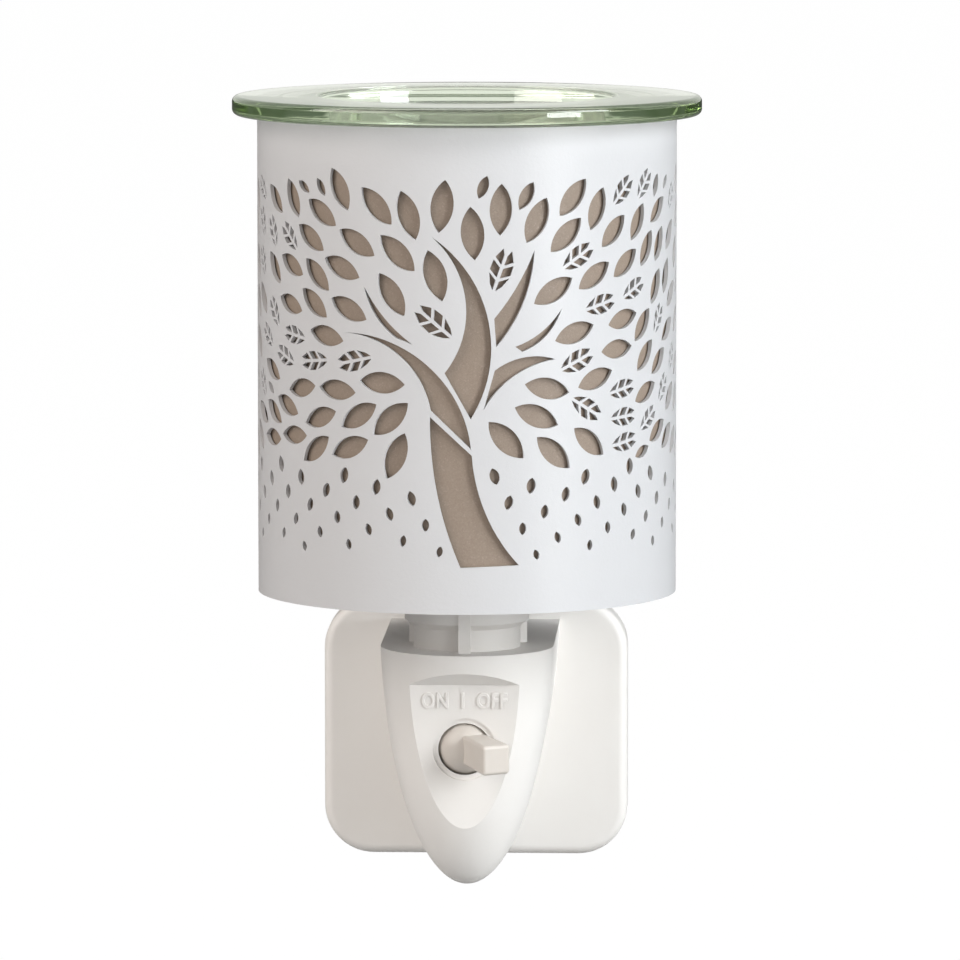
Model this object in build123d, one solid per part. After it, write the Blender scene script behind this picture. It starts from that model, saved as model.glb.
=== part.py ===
from build123d import *
from math import asin, atan2, cos, hypot, pi, radians, sin, sqrt, tan
import os

os.makedirs("parts", exist_ok=True)

# Frame: millimetres, +Z up, the front looks to -Y, and the pins point to +Y.
# The origin is the centre of the wall plate's back face, which lies on the socket.

# Wall plate and housing
PLATE_WIDTH = 61.4
PLATE_HEIGHT = 52.0
PLATE_DEPTH = 8.0
PLATE_CORNER = 10.0
PLATE_EDGE = 1.8
WALL = 1.8
DECK_THICKNESS = 2.0
BODY_HALF_WIDTH = 17.2
BODY_SEMI_HEIGHT = 55.0
TIP_Z = -25.2
DECK_Z = 22.2
COVER_THICKNESS = 3.0
COVER_FIT = 0.15

# Flat switch panel on the front of the body
PANEL_TILT = 3.5
PANEL_FROM_AXIS = 12.7
PANEL_TOP_Z = 16.0
LEDGE_SLOPE = 33.0
SWITCH_Z = 3.2
RECESS_RADIUS = 6.2
RECESS_DEPTH = 0.4

# Toggle switch
BALL_RADIUS = 5.7
BALL_DEPTH = 4.0
BALL_CLEARANCE = 0.6
THROW = 25.0
BAT_LENGTH = 15.8
BAT_ROOT = 4.4
BAT_TIP = 5.8
BAT_HEIGHT = 5.9
BAT_EDGE = 0.7
TAIL_RADIUS = 1.6
TAIL_LENGTH = 7.5
PIVOT_RADIUS = 1.0
RUNNING_FIT = 0.03
WIPER_WIDTH = 2.4
WIPER_HEIGHT = 7.0
WIPER_THICKNESS = 0.8
CONTACT_RADIUS = 0.6
CONTACT_GAP = 0.1
CONTACT_RISE = 2.2
TERMINAL_THICKNESS = 0.8
TERMINAL_HEIGHT = 2.4
TERMINAL_TAIL = 4.0
SWITCH_WALL = 1.1
SWITCH_CORNER = 5.5
SWITCH_BACK = 1.5

# Plug pins, with their centres on the plate
PIN_SPACING = 22.2
EARTH_RISE = 22.2
PIN_WIDTH = 6.35
PIN_HEIGHT = 3.97
PIN_LENGTH = 17.7
EARTH_WIDTH = 3.97
EARTH_HEIGHT = 7.92
EARTH_LENGTH = 22.7
PIN_CHAMFER = 0.9
PIN_FIT = 0.05
PIN_TAIL = 2.6
PIN_SHOULDER = 0.9
SHOULDER_THICKNESS = 1.2
SLEEVE_LENGTH = 9.5
SLEEVE_THICKNESS = 0.5

# Cover screws
SCREW_X = 23.0
SCREW_Z = 18.4
SCREW_RADIUS = 1.25
SCREW_LENGTH = 4.6
SCREW_HEAD_RADIUS = 2.5
SCREW_HEAD_HEIGHT = 1.5
SCREW_SINK = 0.3
SCREW_FIT = 0.05
SLOT_WIDTH = 0.7
SLOT_DEPTH = 0.7
BOSS_RADIUS = 3.2

# Lampholder, on the lamp's axis
WALL_CLEARANCE = 4.1
NECK_RADIUS = 10.5
NECK_HEIGHT = 4.2
SHOULDER_RADIUS = 12.25
SHOULDER_HEIGHT = 7.8
SHOULDER_BEVEL = 1.2
RIB_COUNT = 3
RIB_WIDTH = 2.4
RIB_PROUD = 0.5
THREAD_RADIUS = 10.2
THREAD_GROOVE = 0.5
THREAD_PITCH = 2.0
THREAD_HEIGHT = 16.0
SOCKET_RADIUS = 8.3
SOCKET_RISE = 0.6
SOCKET_FLOOR = 3.0
WIRE_BORE = 4.5
SPIGOT_RADIUS = 6.0
SPIGOT_LENGTH = 9.0
SPIGOT_FIT = 0.1
NUT_ACROSS_FLATS = 16.0
NUT_HEIGHT = 4.0
SHELL_FIT = 0.1
SHELL_HEIGHT = 19.0
SHELL_FLOOR = 0.6
SHELL_HOLE = 4.0
SHELL_LIP = 1.0
CONTACT_POST = 1.2
CONTACT_HEAD = 2.4
CONTACT_HEAD_HEIGHT = 0.6
CONTACT_STAND = 2.5
LUG_THICKNESS = 0.8

# Lamp with a small screw cap
LAMP_PITCH = 2.822
LAMP_CREST = 6.95
LAMP_ROOT = 6.3
LAMP_TURNS = 4
CAP_WALL = 0.5
CAP_COLLAR = 6.2
CAP_STEP = 1.0
LAMP_FIT = 0.1
TIP_RADIUS = 2.3
TIP_HEIGHT = 1.2
INSULATOR_HEIGHT = 2.8
INSULATOR_FOOT = 3.4
BULB_RADIUS = 13.2
BULB_HEIGHT = 38.0
BULB_WALL = 0.8
BULB_SEAT = 4.0
BULB_WAIST = 1.0
BULB_FLANK = 40.0
STEM_LENGTH = 13.0
STEM_RADIUS = 1.6
STEM_FLARE = 4.0
PRESS_WIDTH = 5.0
PRESS_HEIGHT = 4.0
PRESS_THICKNESS = 1.9
FILAMENT_RADIUS = 0.3
FILAMENT_SPREAD = 5.0
FILAMENT_RISE = 9.0
FILAMENT_BEND = 1.5
FILAMENT_LEAD = 2.0
FILAMENT_SAG = 2.0

# Shade, its floor, ring and liner
SHADE_RADIUS = 41.0
SHADE_HEIGHT = 93.4
SHEET = 0.8
LIP_WIDTH = 4.0
FLOOR_RECESS = 0.8
FLOOR_FIT = 0.05
FLOOR_FLANGE = 4.0
VENT_COUNT = 10
VENT_LENGTH = 9.0
VENT_WIDTH = 4.0
VENT_CIRCLE = 26.0
RING_RADIUS = 14.0
RING_HEIGHT = 4.0
RING_NOTCHES = 12
RING_NOTCH_RADIUS = 1.2
RING_FIT = 0.05
LINER_THICKNESS = 0.4
LINER_FIT = 0.3
LINER_GAP = 0.6
LINER_LAP = 8.0

# Glass dish
DISH_RADIUS = 45.9
DISH_RIM = 3.8
RIM_EDGE = 1.2
DISH_WALL = 3.0
WELL_RADIUS = 29.0
WELL_FLOOR_RADIUS = 27.2
WELL_DEPTH = 9.0
WELL_LIP = 1.2
WELL_CURVE = 5.0
DISH_SHOULDER = 1.6
SHOULDER_EDGE = 0.4
SHOULDER_CURVE = 1.5
DISH_FIT = 0.4

# Wires inside the body
WIRE_RADIUS = 0.8
WIRE_SIDE = 2.6
WIRE_SAG = 2.0
WIRE_LEAD = 3.5
WIRE_BEND = 2.0
WIRE_TURN = 6.0
WIRE_SWEEP = 12.0

# Cut-out trees on the unrolled shade: u runs to the right, v up from the shade's lower edge.
# A trunk is drawn through six points and a limb through five, from its base round its tip.
TREE_COUNT = 2
SEAM_TURN = 90.0
CUT_REACH = 5.0
STEM_STEPS = 12
LEAF_WEB = 1.04
FALLING_WEB = 1.0
TRUNK = ((0.4, 9.0), (-4.0, 23.0), (-5.4, 38.0), (2.6, 30.6), (5.0, 20.0), (11.6, 9.4))
LIMBS = (
    ((-5.4, 39.2), (-8.6, 46.6), (-22.8, 53.6), (-4.6, 46.6), (2.4, 31.8)),
    ((-2.6, 46.4), (1.4, 60.5), (-5.0, 72.4), (5.4, 58.0), (2.4, 37.6)),
    ((6.9, 56.8), (10.6, 61.8), (14.8, 69.8), (12.6, 59.8), (7.3, 51.4)),
    ((7.0, 46.9), (11.2, 49.0), (19.0, 48.8), (10.8, 45.8), (4.9, 39.4)),
    ((11.0, 51.4), (15.8, 53.8), (20.4, 58.4), (16.6, 52.8), (12.4, 50.4)),
    ((-12.2, 53.0), (-16.2, 56.8), (-18.8, 62.6), (-14.2, 56.4), (-8.8, 51.8)),
)
CROWN_U = 2.0
CROWN_V = 49.0
CROWN_STRETCH = 1.45
LEAF_SEEDS = 4200
LEAF_SPREAD = 0.85
LEAF_SIZES = (1.0, 0.8, 0.62, 0.46)
LEAF_LIFT = 1.0
LEAF_RISE = 120.0
LEAF_RISE_POWER = 4
LEAF_SWAY = 0.3
LEAF_LENGTH = 10.4
LEAF_SHRINK = 3.8
LEAF_SLENDER = 0.44
LEAF_TOP = 82.0
LEAF_BOTTOM = 29.5
LEAF_COVER = ((0, 0.5), (-0.24, 0.4), (0.24, 0.4), (-0.42, 0.16), (0.42, 0.16))
VEIN_EVERY = 4
VEIN_PAIRS = 3
VEIN_WIDTH = 0.6
VEIN_SPAN = 0.78
VEIN_FROM = 0.45
VEIN_LEAN = 0.45
VEIN_END = 0.46
VEIN_MIN_LENGTH = 5.8
FALLING_COUNT = 120
FALLING_LOW = 11.0
FALLING_BAND = 29.0
FALLING_LENGTH = 2.0
FALLING_GROWTH = 2.4
FALLING_SLENDER = 0.58
GOLDEN_ANGLE = pi * (3 - sqrt(5))
GOLDEN_SHARE = (sqrt(5) - 1) / 2

# Places that follow from the sizes above
AXIS_Y = -(DISH_RADIUS + WALL_CLEARANCE)
CEILING_Z = DECK_Z - DECK_THICKNESS
NECK_TOP = DECK_Z + NECK_HEIGHT
SHOULDER_TOP = NECK_TOP + SHOULDER_HEIGHT
SHADE_BASE = SHOULDER_TOP - FLOOR_RECESS
SHADE_TOP = SHADE_BASE + SHADE_HEIGHT
SHADE_BORE = SHADE_RADIUS - SHEET
LIP_BORE = SHADE_RADIUS - LIP_WIDTH
FLOOR_TOP = SHOULDER_TOP + SHEET
THREAD_TOP = FLOOR_TOP + THREAD_HEIGHT
SOCKET_TOP = NECK_TOP + SOCKET_RISE
SOCKET_UNDER = SOCKET_TOP - SOCKET_FLOOR
SPIGOT_END = DECK_Z - SPIGOT_LENGTH
CONTACT_TOP = SOCKET_TOP + CONTACT_STAND + CONTACT_HEAD_HEIGHT
LAMP_BASE = CONTACT_TOP + LAMP_FIT
CAP_BASE = LAMP_BASE + TIP_HEIGHT + INSULATOR_HEIGHT
CAP_TOP = CAP_BASE + LAMP_TURNS * LAMP_PITCH + CAP_COLLAR
CAP_BORE = LAMP_ROOT - CAP_WALL
GLASS_BASE = CAP_TOP - BULB_SEAT
LINER_RADIUS = SHADE_BORE - LINER_FIT
LINER_BORE = LINER_RADIUS - LINER_THICKNESS
FLANGE_RADIUS = LINER_BORE - FLOOR_FIT
FLANGE_BORE = FLANGE_RADIUS - SHEET
FLANGE_TOP = FLOOR_TOP + FLOOR_FLANGE
SEAT_RADIUS = BALL_RADIUS + BALL_CLEARANCE
LINE_Z = -EARTH_RISE / 2
EARTH_Z = EARTH_RISE / 2
PANEL_DROP = (PANEL_TOP_Z - SWITCH_Z) * tan(radians(PANEL_TILT))
SWITCH_PLANE = Plane(
    origin=(0, AXIS_Y - PANEL_FROM_AXIS + PANEL_DROP, SWITCH_Z),
    x_dir=(1, 0, 0),
    z_dir=(0, -cos(radians(PANEL_TILT)), -sin(radians(PANEL_TILT))),
)
LAMP_AXIS = Pos(0, AXIS_Y, 0)


def turned(*points, seam=0):
    """Ring or disc on the lamp's axis, from an outline of (radius, height) points; the seam turns from +X."""
    outline = make_face(Polyline(*points, close=True))
    return LAMP_AXIS * Rot(0, 0, seam) * revolve(Plane.XZ * outline, axis=Axis.Z)


def tube(outer, inner, low, high):
    """Plain tube on the lamp's axis."""
    return turned((inner, low), (outer, low), (outer, high), (inner, high))


def rod(radius, low, high):
    """Plain rod on the lamp's axis."""
    return turned((0, low), (radius, low), (radius, high), (0, high))


def slab(face, front, back):
    """Prism from a drawing on the front view, between two depths along Y."""
    return extrude(Pos(0, back, 0) * (Plane.XZ * face), amount=back - front)


def wire(points, bends):
    """Round wire along straight runs joined by arcs."""
    path = FilletPolyline(*points, radius=bends)
    section = Plane(origin=path @ 0, z_dir=path % 0) * Circle(WIRE_RADIUS)
    return sweep(section, path=path)


def body_outline(inset, top):
    """Front view of the bullet body, drawn in by the inset and cut flat at the top."""
    half_width = BODY_HALF_WIDTH - inset
    semi_height = BODY_SEMI_HEIGHT - inset
    whole = Pos(0, TIP_Z + BODY_SEMI_HEIGHT) * Ellipse(half_width, semi_height)
    below = Pos(0, top - semi_height) * Rectangle(4 * half_width, 2 * semi_height)
    return whole & below


def bullet(inset, top, back):
    """Bullet body: round in plan at the front and straight back to the plate."""
    outline = body_outline(inset, top)
    right = outline & (Pos(BODY_HALF_WIDTH, 0) * Rectangle(2 * BODY_HALF_WIDTH, 4 * BODY_SEMI_HEIGHT))
    nose = revolve(Plane.XZ * right, axis=Axis((0, 0, 0), (0, 0, -1)), revolution_arc=180)
    return slab(outline, AXIS_Y, back) + LAMP_AXIS * nose


def panel_cut():
    """Everything in front of the flat panel and under the sloped ledge above it."""
    reach = 2 * BODY_SEMI_HEIGHT
    tilt, slope = radians(PANEL_TILT), radians(LEDGE_SLOPE)
    corner = Vector(AXIS_Y - PANEL_FROM_AXIS, PANEL_TOP_Z)
    foot = corner + Vector(sin(tilt), -cos(tilt)) * reach
    ledge = corner + Vector(-cos(slope), sin(slope)) * reach
    profile = make_face(Polyline(corner, foot, foot - Vector(2 * reach, 0), ledge, close=True))
    return extrude(Plane.YZ * profile, amount=2 * BODY_HALF_WIDTH, both=True)


def inside_shift():
    """Move that takes the panel and the ledge inwards, each by the wall along its own normal."""
    tilt, slope = radians(PANEL_TILT), radians(LEDGE_SLOPE)
    share = WALL / cos(tilt + slope)
    return Pos(0, share * (cos(slope) - sin(tilt)), share * (cos(tilt) - sin(slope)))


def screw_places():
    """Centres of the four cover screws on the plate."""
    return [(x, z) for x in (-SCREW_X, SCREW_X) for z in (-SCREW_Z, SCREW_Z)]


def base_housing():
    """White moulding: wall plate and bullet body in one shell, open at the back."""
    cut = panel_cut()
    inner_cut = inside_shift() * cut
    plate = slab(RectangleRounded(PLATE_WIDTH, PLATE_HEIGHT, PLATE_CORNER), -PLATE_DEPTH, 0)
    plate = fillet(plate.faces().sort_by(Axis.Y)[0].edges(), PLATE_EDGE)
    inner = RectangleRounded(PLATE_WIDTH - 2 * WALL, PLATE_HEIGHT - 2 * WALL, PLATE_CORNER - WALL)
    solid = plate + (bullet(0, DECK_Z, -PLATE_DEPTH / 2) - cut)
    solid -= slab(inner, WALL - PLATE_DEPTH, 0)
    solid -= bullet(WALL, CEILING_Z, 0) - inner_cut
    hole_depth = -COVER_THICKNESS - SCREW_LENGTH
    for x, z in screw_places():
        spot = Pos(x, z)
        solid += slab(spot * Circle(BOSS_RADIUS), -PLATE_DEPTH + WALL / 2, -COVER_THICKNESS)
        solid -= slab(spot * Circle(SCREW_RADIUS + SCREW_FIT), hole_depth, 0)
    solid -= rod(SPIGOT_RADIUS + SPIGOT_FIT, CEILING_Z - WALL, DECK_Z + WALL)
    solid -= SWITCH_PLANE * Pos(0, 0, RECESS_DEPTH / 2) * Cylinder(RECESS_RADIUS, 3 * RECESS_DEPTH)
    solid -= SWITCH_PLANE * Pos(0, 0, -BALL_DEPTH) * Sphere(SEAT_RADIUS)
    return solid


def pin_holes():
    """Front-view places and sizes of the three pins."""
    half = PIN_SPACING / 2
    return (
        (half, LINE_Z, PIN_WIDTH, PIN_HEIGHT),
        (-half, LINE_Z, PIN_WIDTH, PIN_HEIGHT),
        (0, EARTH_Z, EARTH_WIDTH, EARTH_HEIGHT),
    )


def back_cover():
    """Flat cover that closes the back of the plate and carries the pins and screws."""
    inset = 2 * (WALL + COVER_FIT)
    outline = RectangleRounded(PLATE_WIDTH - inset, PLATE_HEIGHT - inset, PLATE_CORNER - inset / 2)
    solid = slab(outline, -COVER_THICKNESS, 0)
    for x, z, width, height in pin_holes():
        opening = Pos(x, z) * Rectangle(width + 2 * PIN_FIT, height + 2 * PIN_FIT)
        solid -= slab(opening, -COVER_THICKNESS, 0)
    seat = -SCREW_SINK - SCREW_HEAD_HEIGHT
    for x, z in screw_places():
        solid -= slab(Pos(x, z) * Circle(SCREW_RADIUS + SCREW_FIT), -COVER_THICKNESS, 0)
        solid -= slab(Pos(x, z) * Circle(SCREW_HEAD_RADIUS + SCREW_FIT), seat, 0)
    return solid


def cover_screws():
    """Four slotted screws from the cover into the bosses of the housing."""
    top = -SCREW_SINK
    seat = top - SCREW_HEAD_HEIGHT
    end = -COVER_THICKNESS - SCREW_LENGTH + SCREW_FIT
    screws = []
    for x, z in screw_places():
        screw = slab(Pos(x, z) * Circle(SCREW_HEAD_RADIUS), seat, top)
        screw += slab(Pos(x, z) * Circle(SCREW_RADIUS), end, seat)
        screw -= slab(Pos(x, z) * Rectangle(SLOT_WIDTH, 3 * SCREW_HEAD_RADIUS), top - SLOT_DEPTH, top)
        screws.append(screw)
    return Compound(children=screws)


def plug_pin(x, z, width, height, length, sleeved):
    """Flat plug pin with a chamfered tip and a shoulder behind the cover."""
    end = slab(Pos(x, z) * Rectangle(width, height), 0, length)
    end = chamfer(end.faces().sort_by(Axis.Y)[-1].edges(), PIN_CHAMFER)
    if sleeved:
        sleeve = slab(Pos(x, z) * Rectangle(2 * width, 2 * height), 0, SLEEVE_LENGTH)
        core = Rectangle(width - 2 * SLEEVE_THICKNESS, height - 2 * SLEEVE_THICKNESS)
        end -= sleeve - slab(Pos(x, z) * core, 0, SLEEVE_LENGTH)
    inside = -COVER_THICKNESS - SHOULDER_THICKNESS
    pin = end + slab(Pos(x, z) * Rectangle(width, height), -COVER_THICKNESS, 0)
    wide = Rectangle(width + 2 * PIN_SHOULDER, height + 2 * PIN_SHOULDER)
    pin += slab(Pos(x, z) * wide, inside, -COVER_THICKNESS)
    return pin


def current_pin(side):
    """Sleeved brass pin with a solder tail inside the plate."""
    x = side * PIN_SPACING / 2
    pin = plug_pin(x, LINE_Z, PIN_WIDTH, PIN_HEIGHT, PIN_LENGTH, True)
    tail = Rectangle(PIN_WIDTH - 2 * SLEEVE_THICKNESS, PIN_HEIGHT - 2 * SLEEVE_THICKNESS)
    return pin + slab(Pos(x, LINE_Z) * tail, -COVER_THICKNESS - PIN_TAIL, -COVER_THICKNESS)


def earth_pin():
    """Moulded earth pin, which only opens the socket's shutters."""
    return plug_pin(0, EARTH_Z, EARTH_WIDTH, EARTH_HEIGHT, EARTH_LENGTH, False)


def pin_sleeves():
    """Insulating sleeves around the necks of the two current pins."""
    ring = Rectangle(PIN_WIDTH, PIN_HEIGHT) - Rectangle(
        PIN_WIDTH - 2 * SLEEVE_THICKNESS, PIN_HEIGHT - 2 * SLEEVE_THICKNESS
    )
    half = PIN_SPACING / 2
    return Compound(children=[slab(Pos(x, LINE_Z) * ring, 0, SLEEVE_LENGTH) for x in (-half, half)])


def switch_depths():
    """Depths below the panel face: front, inside of the back wall, and back of the switch."""
    inner = -BALL_DEPTH - TAIL_LENGTH - WIPER_THICKNESS - 3 * BALL_CLEARANCE
    return -WALL, inner, inner - SWITCH_BACK


def contact_place():
    """Side place and depth of the fixed contacts, where the wiper meets them at the ON end."""
    throw = radians(THROW)
    along = TAIL_LENGTH + WIPER_THICKNESS / 2
    across = WIPER_WIDTH / 2 + CONTACT_GAP + CONTACT_RADIUS
    side = along * sin(throw) + across * cos(throw)
    return side, -BALL_DEPTH - along * cos(throw) + across * sin(throw)


def switch_body():
    """Moulded switch case on the inside of the panel, with the bearing for the pivot."""
    front, inner, back = switch_depths()
    room = 2 * SEAT_RADIUS
    size = room + 2 * SWITCH_WALL
    case = Pos(0, 0, back) * extrude(RectangleRounded(size, size, SWITCH_CORNER), amount=front - back)
    hollow = RectangleRounded(room, room, SWITCH_CORNER - SWITCH_WALL)
    case -= Pos(0, 0, inner) * extrude(hollow, amount=front - inner)
    case -= Pos(0, 0, -BALL_DEPTH) * Rot(90, 0, 0) * Cylinder(PIVOT_RADIUS, 2 * size)
    side, _ = contact_place()
    for rise in (-CONTACT_RISE, CONTACT_RISE):
        slit = Box(TERMINAL_THICKNESS + 2 * PIN_FIT, TERMINAL_HEIGHT + 2 * PIN_FIT, 3 * SWITCH_BACK)
        case -= Pos(side, rise, back) * slit
    return SWITCH_PLANE * case


def toggle_pivot():
    """Steel pin across the switch case."""
    length = 2 * (SEAT_RADIUS + SWITCH_WALL)
    return SWITCH_PLANE * Pos(0, 0, -BALL_DEPTH) * Rot(90, 0, 0) * Cylinder(PIVOT_RADIUS, length)


def at_rest(shape):
    """Place a piece of the lever, drawn upright about its pivot, tipped to the OFF side."""
    return SWITCH_PLANE * Pos(0, 0, -BALL_DEPTH) * Rot(0, THROW, 0) * shape


def toggle_lever():
    """Ball with a square bat that widens to its tip, and a tail for the wiper."""
    root = Rectangle(BAT_ROOT, BAT_HEIGHT)
    tip = Pos(0, 0, BAT_LENGTH) * Rectangle(BAT_TIP, BAT_HEIGHT)
    bat = loft([root, tip])
    ends = bat.faces().sort_by(Axis.Z)[-1].edges()
    sides = bat.edges().filter_by(lambda edge: edge.length > 2 * BAT_HEIGHT)
    bat = fillet(ends + sides, BAT_EDGE)
    lever = Sphere(BALL_RADIUS) + bat
    lever += Pos(0, 0, -TAIL_LENGTH / 2) * Cylinder(TAIL_RADIUS, TAIL_LENGTH)
    lever -= Rot(90, 0, 0) * Cylinder(PIVOT_RADIUS + RUNNING_FIT, 3 * BALL_RADIUS)
    return at_rest(lever)


def switch_wiper():
    """Brass bar on the lever's tail that bridges the two fixed contacts."""
    bar = Box(WIPER_WIDTH, WIPER_HEIGHT, WIPER_THICKNESS)
    return at_rest(Pos(0, 0, -TAIL_LENGTH - WIPER_THICKNESS / 2) * bar)


def switch_terminals():
    """Two brass blades through the back of the switch, each with a rounded contact."""
    side, depth = contact_place()
    end = switch_depths()[2] - TERMINAL_TAIL
    blades = []
    for rise in (-CONTACT_RISE, CONTACT_RISE):
        blade = Pos(side, rise, (depth + end) / 2) * Box(TERMINAL_THICKNESS, TERMINAL_HEIGHT, depth - end)
        blade += Pos(side, rise, depth) * Rot(90, 0, 0) * Cylinder(CONTACT_RADIUS, TERMINAL_HEIGHT)
        blades.append(SWITCH_PLANE * blade)
    return Compound(children=blades)


def terminal_end(rise, beyond=0):
    """Point at a terminal's end face, where its wire is soldered, or straight back beyond it."""
    side, _ = contact_place()
    depth = switch_depths()[2] - TERMINAL_TAIL - beyond
    return SWITCH_PLANE.from_local_coords(Vector(side, rise, depth))


def pin_solder(side):
    """Point on top of a current pin's tail, where its wire starts."""
    tail_top = LINE_Z + PIN_HEIGHT / 2 - SLEEVE_THICKNESS
    back = -COVER_THICKNESS - SHOULDER_THICKNESS
    return Vector(side * PIN_SPACING / 2, back - WIRE_RADIUS, tail_top + PIN_SHOULDER)


def wire_pass():
    """Height at which the wires pass between the top of the switch and the spigot's end."""
    corner = SWITCH_PLANE.from_local_coords(Vector(0, SEAT_RADIUS + SWITCH_WALL, switch_depths()[2]))
    return (corner.Z + SPIGOT_END) / 2


def line_wire():
    """Wire from the line pin to the lower switch terminal."""
    start, end = pin_solder(1), terminal_end(-CONTACT_RISE)
    near = terminal_end(-CONTACT_RISE, WIRE_LEAD)
    lift = Vector(start.X, start.Y, near.Z - WIRE_SAG)
    return wire((start, lift, near, end), (WIRE_TURN, WIRE_TURN))


def switched_wire():
    """Wire from the upper switch terminal up to the lug of the centre contact."""
    start, near = terminal_end(CONTACT_RISE), terminal_end(CONTACT_RISE, WIRE_LEAD)
    top = Vector(WIRE_SIDE, AXIS_Y, SOCKET_UNDER - LUG_THICKNESS)
    under = Vector(WIRE_SIDE, AXIS_Y, wire_pass())
    back = Vector((near.X + under.X) / 2, near.Y + WIRE_RADIUS, under.Z)
    return wire((start, near, back, under, top), (WIRE_BEND, WIRE_BEND, WIRE_BEND))


def neutral_wire():
    """Wire from the neutral pin up to the screw shell."""
    start = pin_solder(-1)
    top = Vector(-WIRE_SIDE, AXIS_Y, SOCKET_TOP)
    under = Vector(-WIRE_SIDE, AXIS_Y, wire_pass())
    lift = Vector(start.X, start.Y, under.Z)
    middle = Vector(under.X - WIRE_SAG, AXIS_Y / 2, under.Z)
    return wire((start, lift, middle, under, top), (WIRE_TURN, WIRE_SWEEP, WIRE_BEND))


def lampholder():
    """White lampholder: neck, shoulder and ribs on the deck, threaded above for the ring."""
    outline = [(0, SPIGOT_END), (SPIGOT_RADIUS, SPIGOT_END), (SPIGOT_RADIUS, DECK_Z)]
    outline += [(NECK_RADIUS, DECK_Z), (NECK_RADIUS, NECK_TOP), (SHOULDER_RADIUS, NECK_TOP + SHOULDER_BEVEL)]
    outline += [(SHOULDER_RADIUS, SHOULDER_TOP), (THREAD_RADIUS, SHOULDER_TOP)]
    start = FLOOR_TOP + RING_HEIGHT
    for turn in range(int((THREAD_TOP - start) / THREAD_PITCH)):
        low = start + turn * THREAD_PITCH
        outline += [(THREAD_RADIUS, low), (THREAD_RADIUS - THREAD_GROOVE, low + THREAD_PITCH / 2)]
    outline += [(THREAD_RADIUS, THREAD_TOP), (0, THREAD_TOP)]
    solid = turned(*outline)
    solid -= rod(WIRE_BORE, SPIGOT_END, SOCKET_UNDER) + rod(SOCKET_RADIUS, SOCKET_TOP, THREAD_TOP)
    length = SHOULDER_RADIUS + RIB_PROUD - SOCKET_RADIUS
    height = SHOULDER_TOP - DECK_Z
    rib = Pos(0, -SOCKET_RADIUS - length / 2, DECK_Z + height / 2) * Box(RIB_WIDTH, length, height)
    bore = rod(SOCKET_RADIUS, SOCKET_TOP, THREAD_TOP)
    for turn in range(RIB_COUNT):
        solid += LAMP_AXIS * Rot(0, 0, turn * 360 / RIB_COUNT) * rib - bore
    solid -= rod(CONTACT_POST + PIN_FIT, SOCKET_UNDER, SOCKET_TOP)
    way = Cylinder(WIRE_RADIUS + PIN_FIT, 2 * SOCKET_FLOOR)
    return solid - Pos(-WIRE_SIDE, AXIS_Y, SOCKET_TOP - SOCKET_FLOOR / 2) * way


def lampholder_nut():
    """Hexagon nut that draws the lampholder down on the deck."""
    face = RegularPolygon(NUT_ACROSS_FLATS / 2, 6, major_radius=False) - Circle(SPIGOT_RADIUS + SPIGOT_FIT)
    return Pos(0, AXIS_Y, CEILING_Z - NUT_HEIGHT) * extrude(face, amount=NUT_HEIGHT)


def thread_line(crest, root, low, turns):
    """Zigzag of a rolled thread as (radius, height) points, from root to crest and back."""
    points = []
    for turn in range(turns):
        height = low + turn * LAMP_PITCH
        points += [(root, height), (crest, height + LAMP_PITCH / 2)]
    return points + [(root, low + turns * LAMP_PITCH)]


def screw_shell():
    """Brass screw shell in the lampholder, with the lamp's thread rolled inside."""
    outer = SOCKET_RADIUS - SHELL_FIT
    crest = LAMP_CREST + LAMP_FIT
    root = crest + (LAMP_CREST - LAMP_ROOT)
    top = SOCKET_TOP + SHELL_HEIGHT
    turns = int((SHELL_HEIGHT - SHELL_FLOOR - 2 * SHELL_LIP) / LAMP_PITCH)
    inside = thread_line(crest, root, SOCKET_TOP + SHELL_FLOOR + SHELL_LIP, turns)
    outline = [(SHELL_HOLE, SOCKET_TOP), (outer, SOCKET_TOP), (outer, top), (root, top)]
    outline += inside[::-1]
    outline += [(root, SOCKET_TOP + SHELL_FLOOR), (SHELL_HOLE, SOCKET_TOP + SHELL_FLOOR)]
    return turned(*outline)


def centre_contact():
    """Brass centre contact: head, post through the socket floor and a solder lug."""
    low = SOCKET_UNDER - LUG_THICKNESS
    solid = rod(CONTACT_POST, low, CONTACT_TOP)
    solid += rod(CONTACT_HEAD, CONTACT_TOP - CONTACT_HEAD_HEIGHT, CONTACT_TOP)
    length = WIRE_SIDE + WIRE_RADIUS
    lug = Box(length, 2 * CONTACT_POST, LUG_THICKNESS)
    return solid + Pos(length / 2, AXIS_Y, low + LUG_THICKNESS / 2) * lug


def bulb_tip():
    """Solder tip of the lamp cap, a flat dome cut from a ball."""
    ball = (TIP_RADIUS**2 + TIP_HEIGHT**2) / (2 * TIP_HEIGHT)
    half_way = asin(TIP_RADIUS / ball) / 2
    bead = make_face([
        Line((0, 0), (0, TIP_HEIGHT)),
        Line((0, TIP_HEIGHT), (TIP_RADIUS, TIP_HEIGHT)),
        ThreePointArc(
            (TIP_RADIUS, TIP_HEIGHT), (ball * sin(half_way), ball * (1 - cos(half_way))), (0, 0)
        ),
    ])
    return Pos(0, AXIS_Y, LAMP_BASE) * revolve(Plane.XZ * bead, axis=Axis.Z)


def bulb_insulator():
    """Dark glass cone between the tip and the cap."""
    low = LAMP_BASE + TIP_HEIGHT
    return turned((0, low), (INSULATOR_FOOT, low), (CAP_BORE, CAP_BASE), (0, CAP_BASE))


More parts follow.
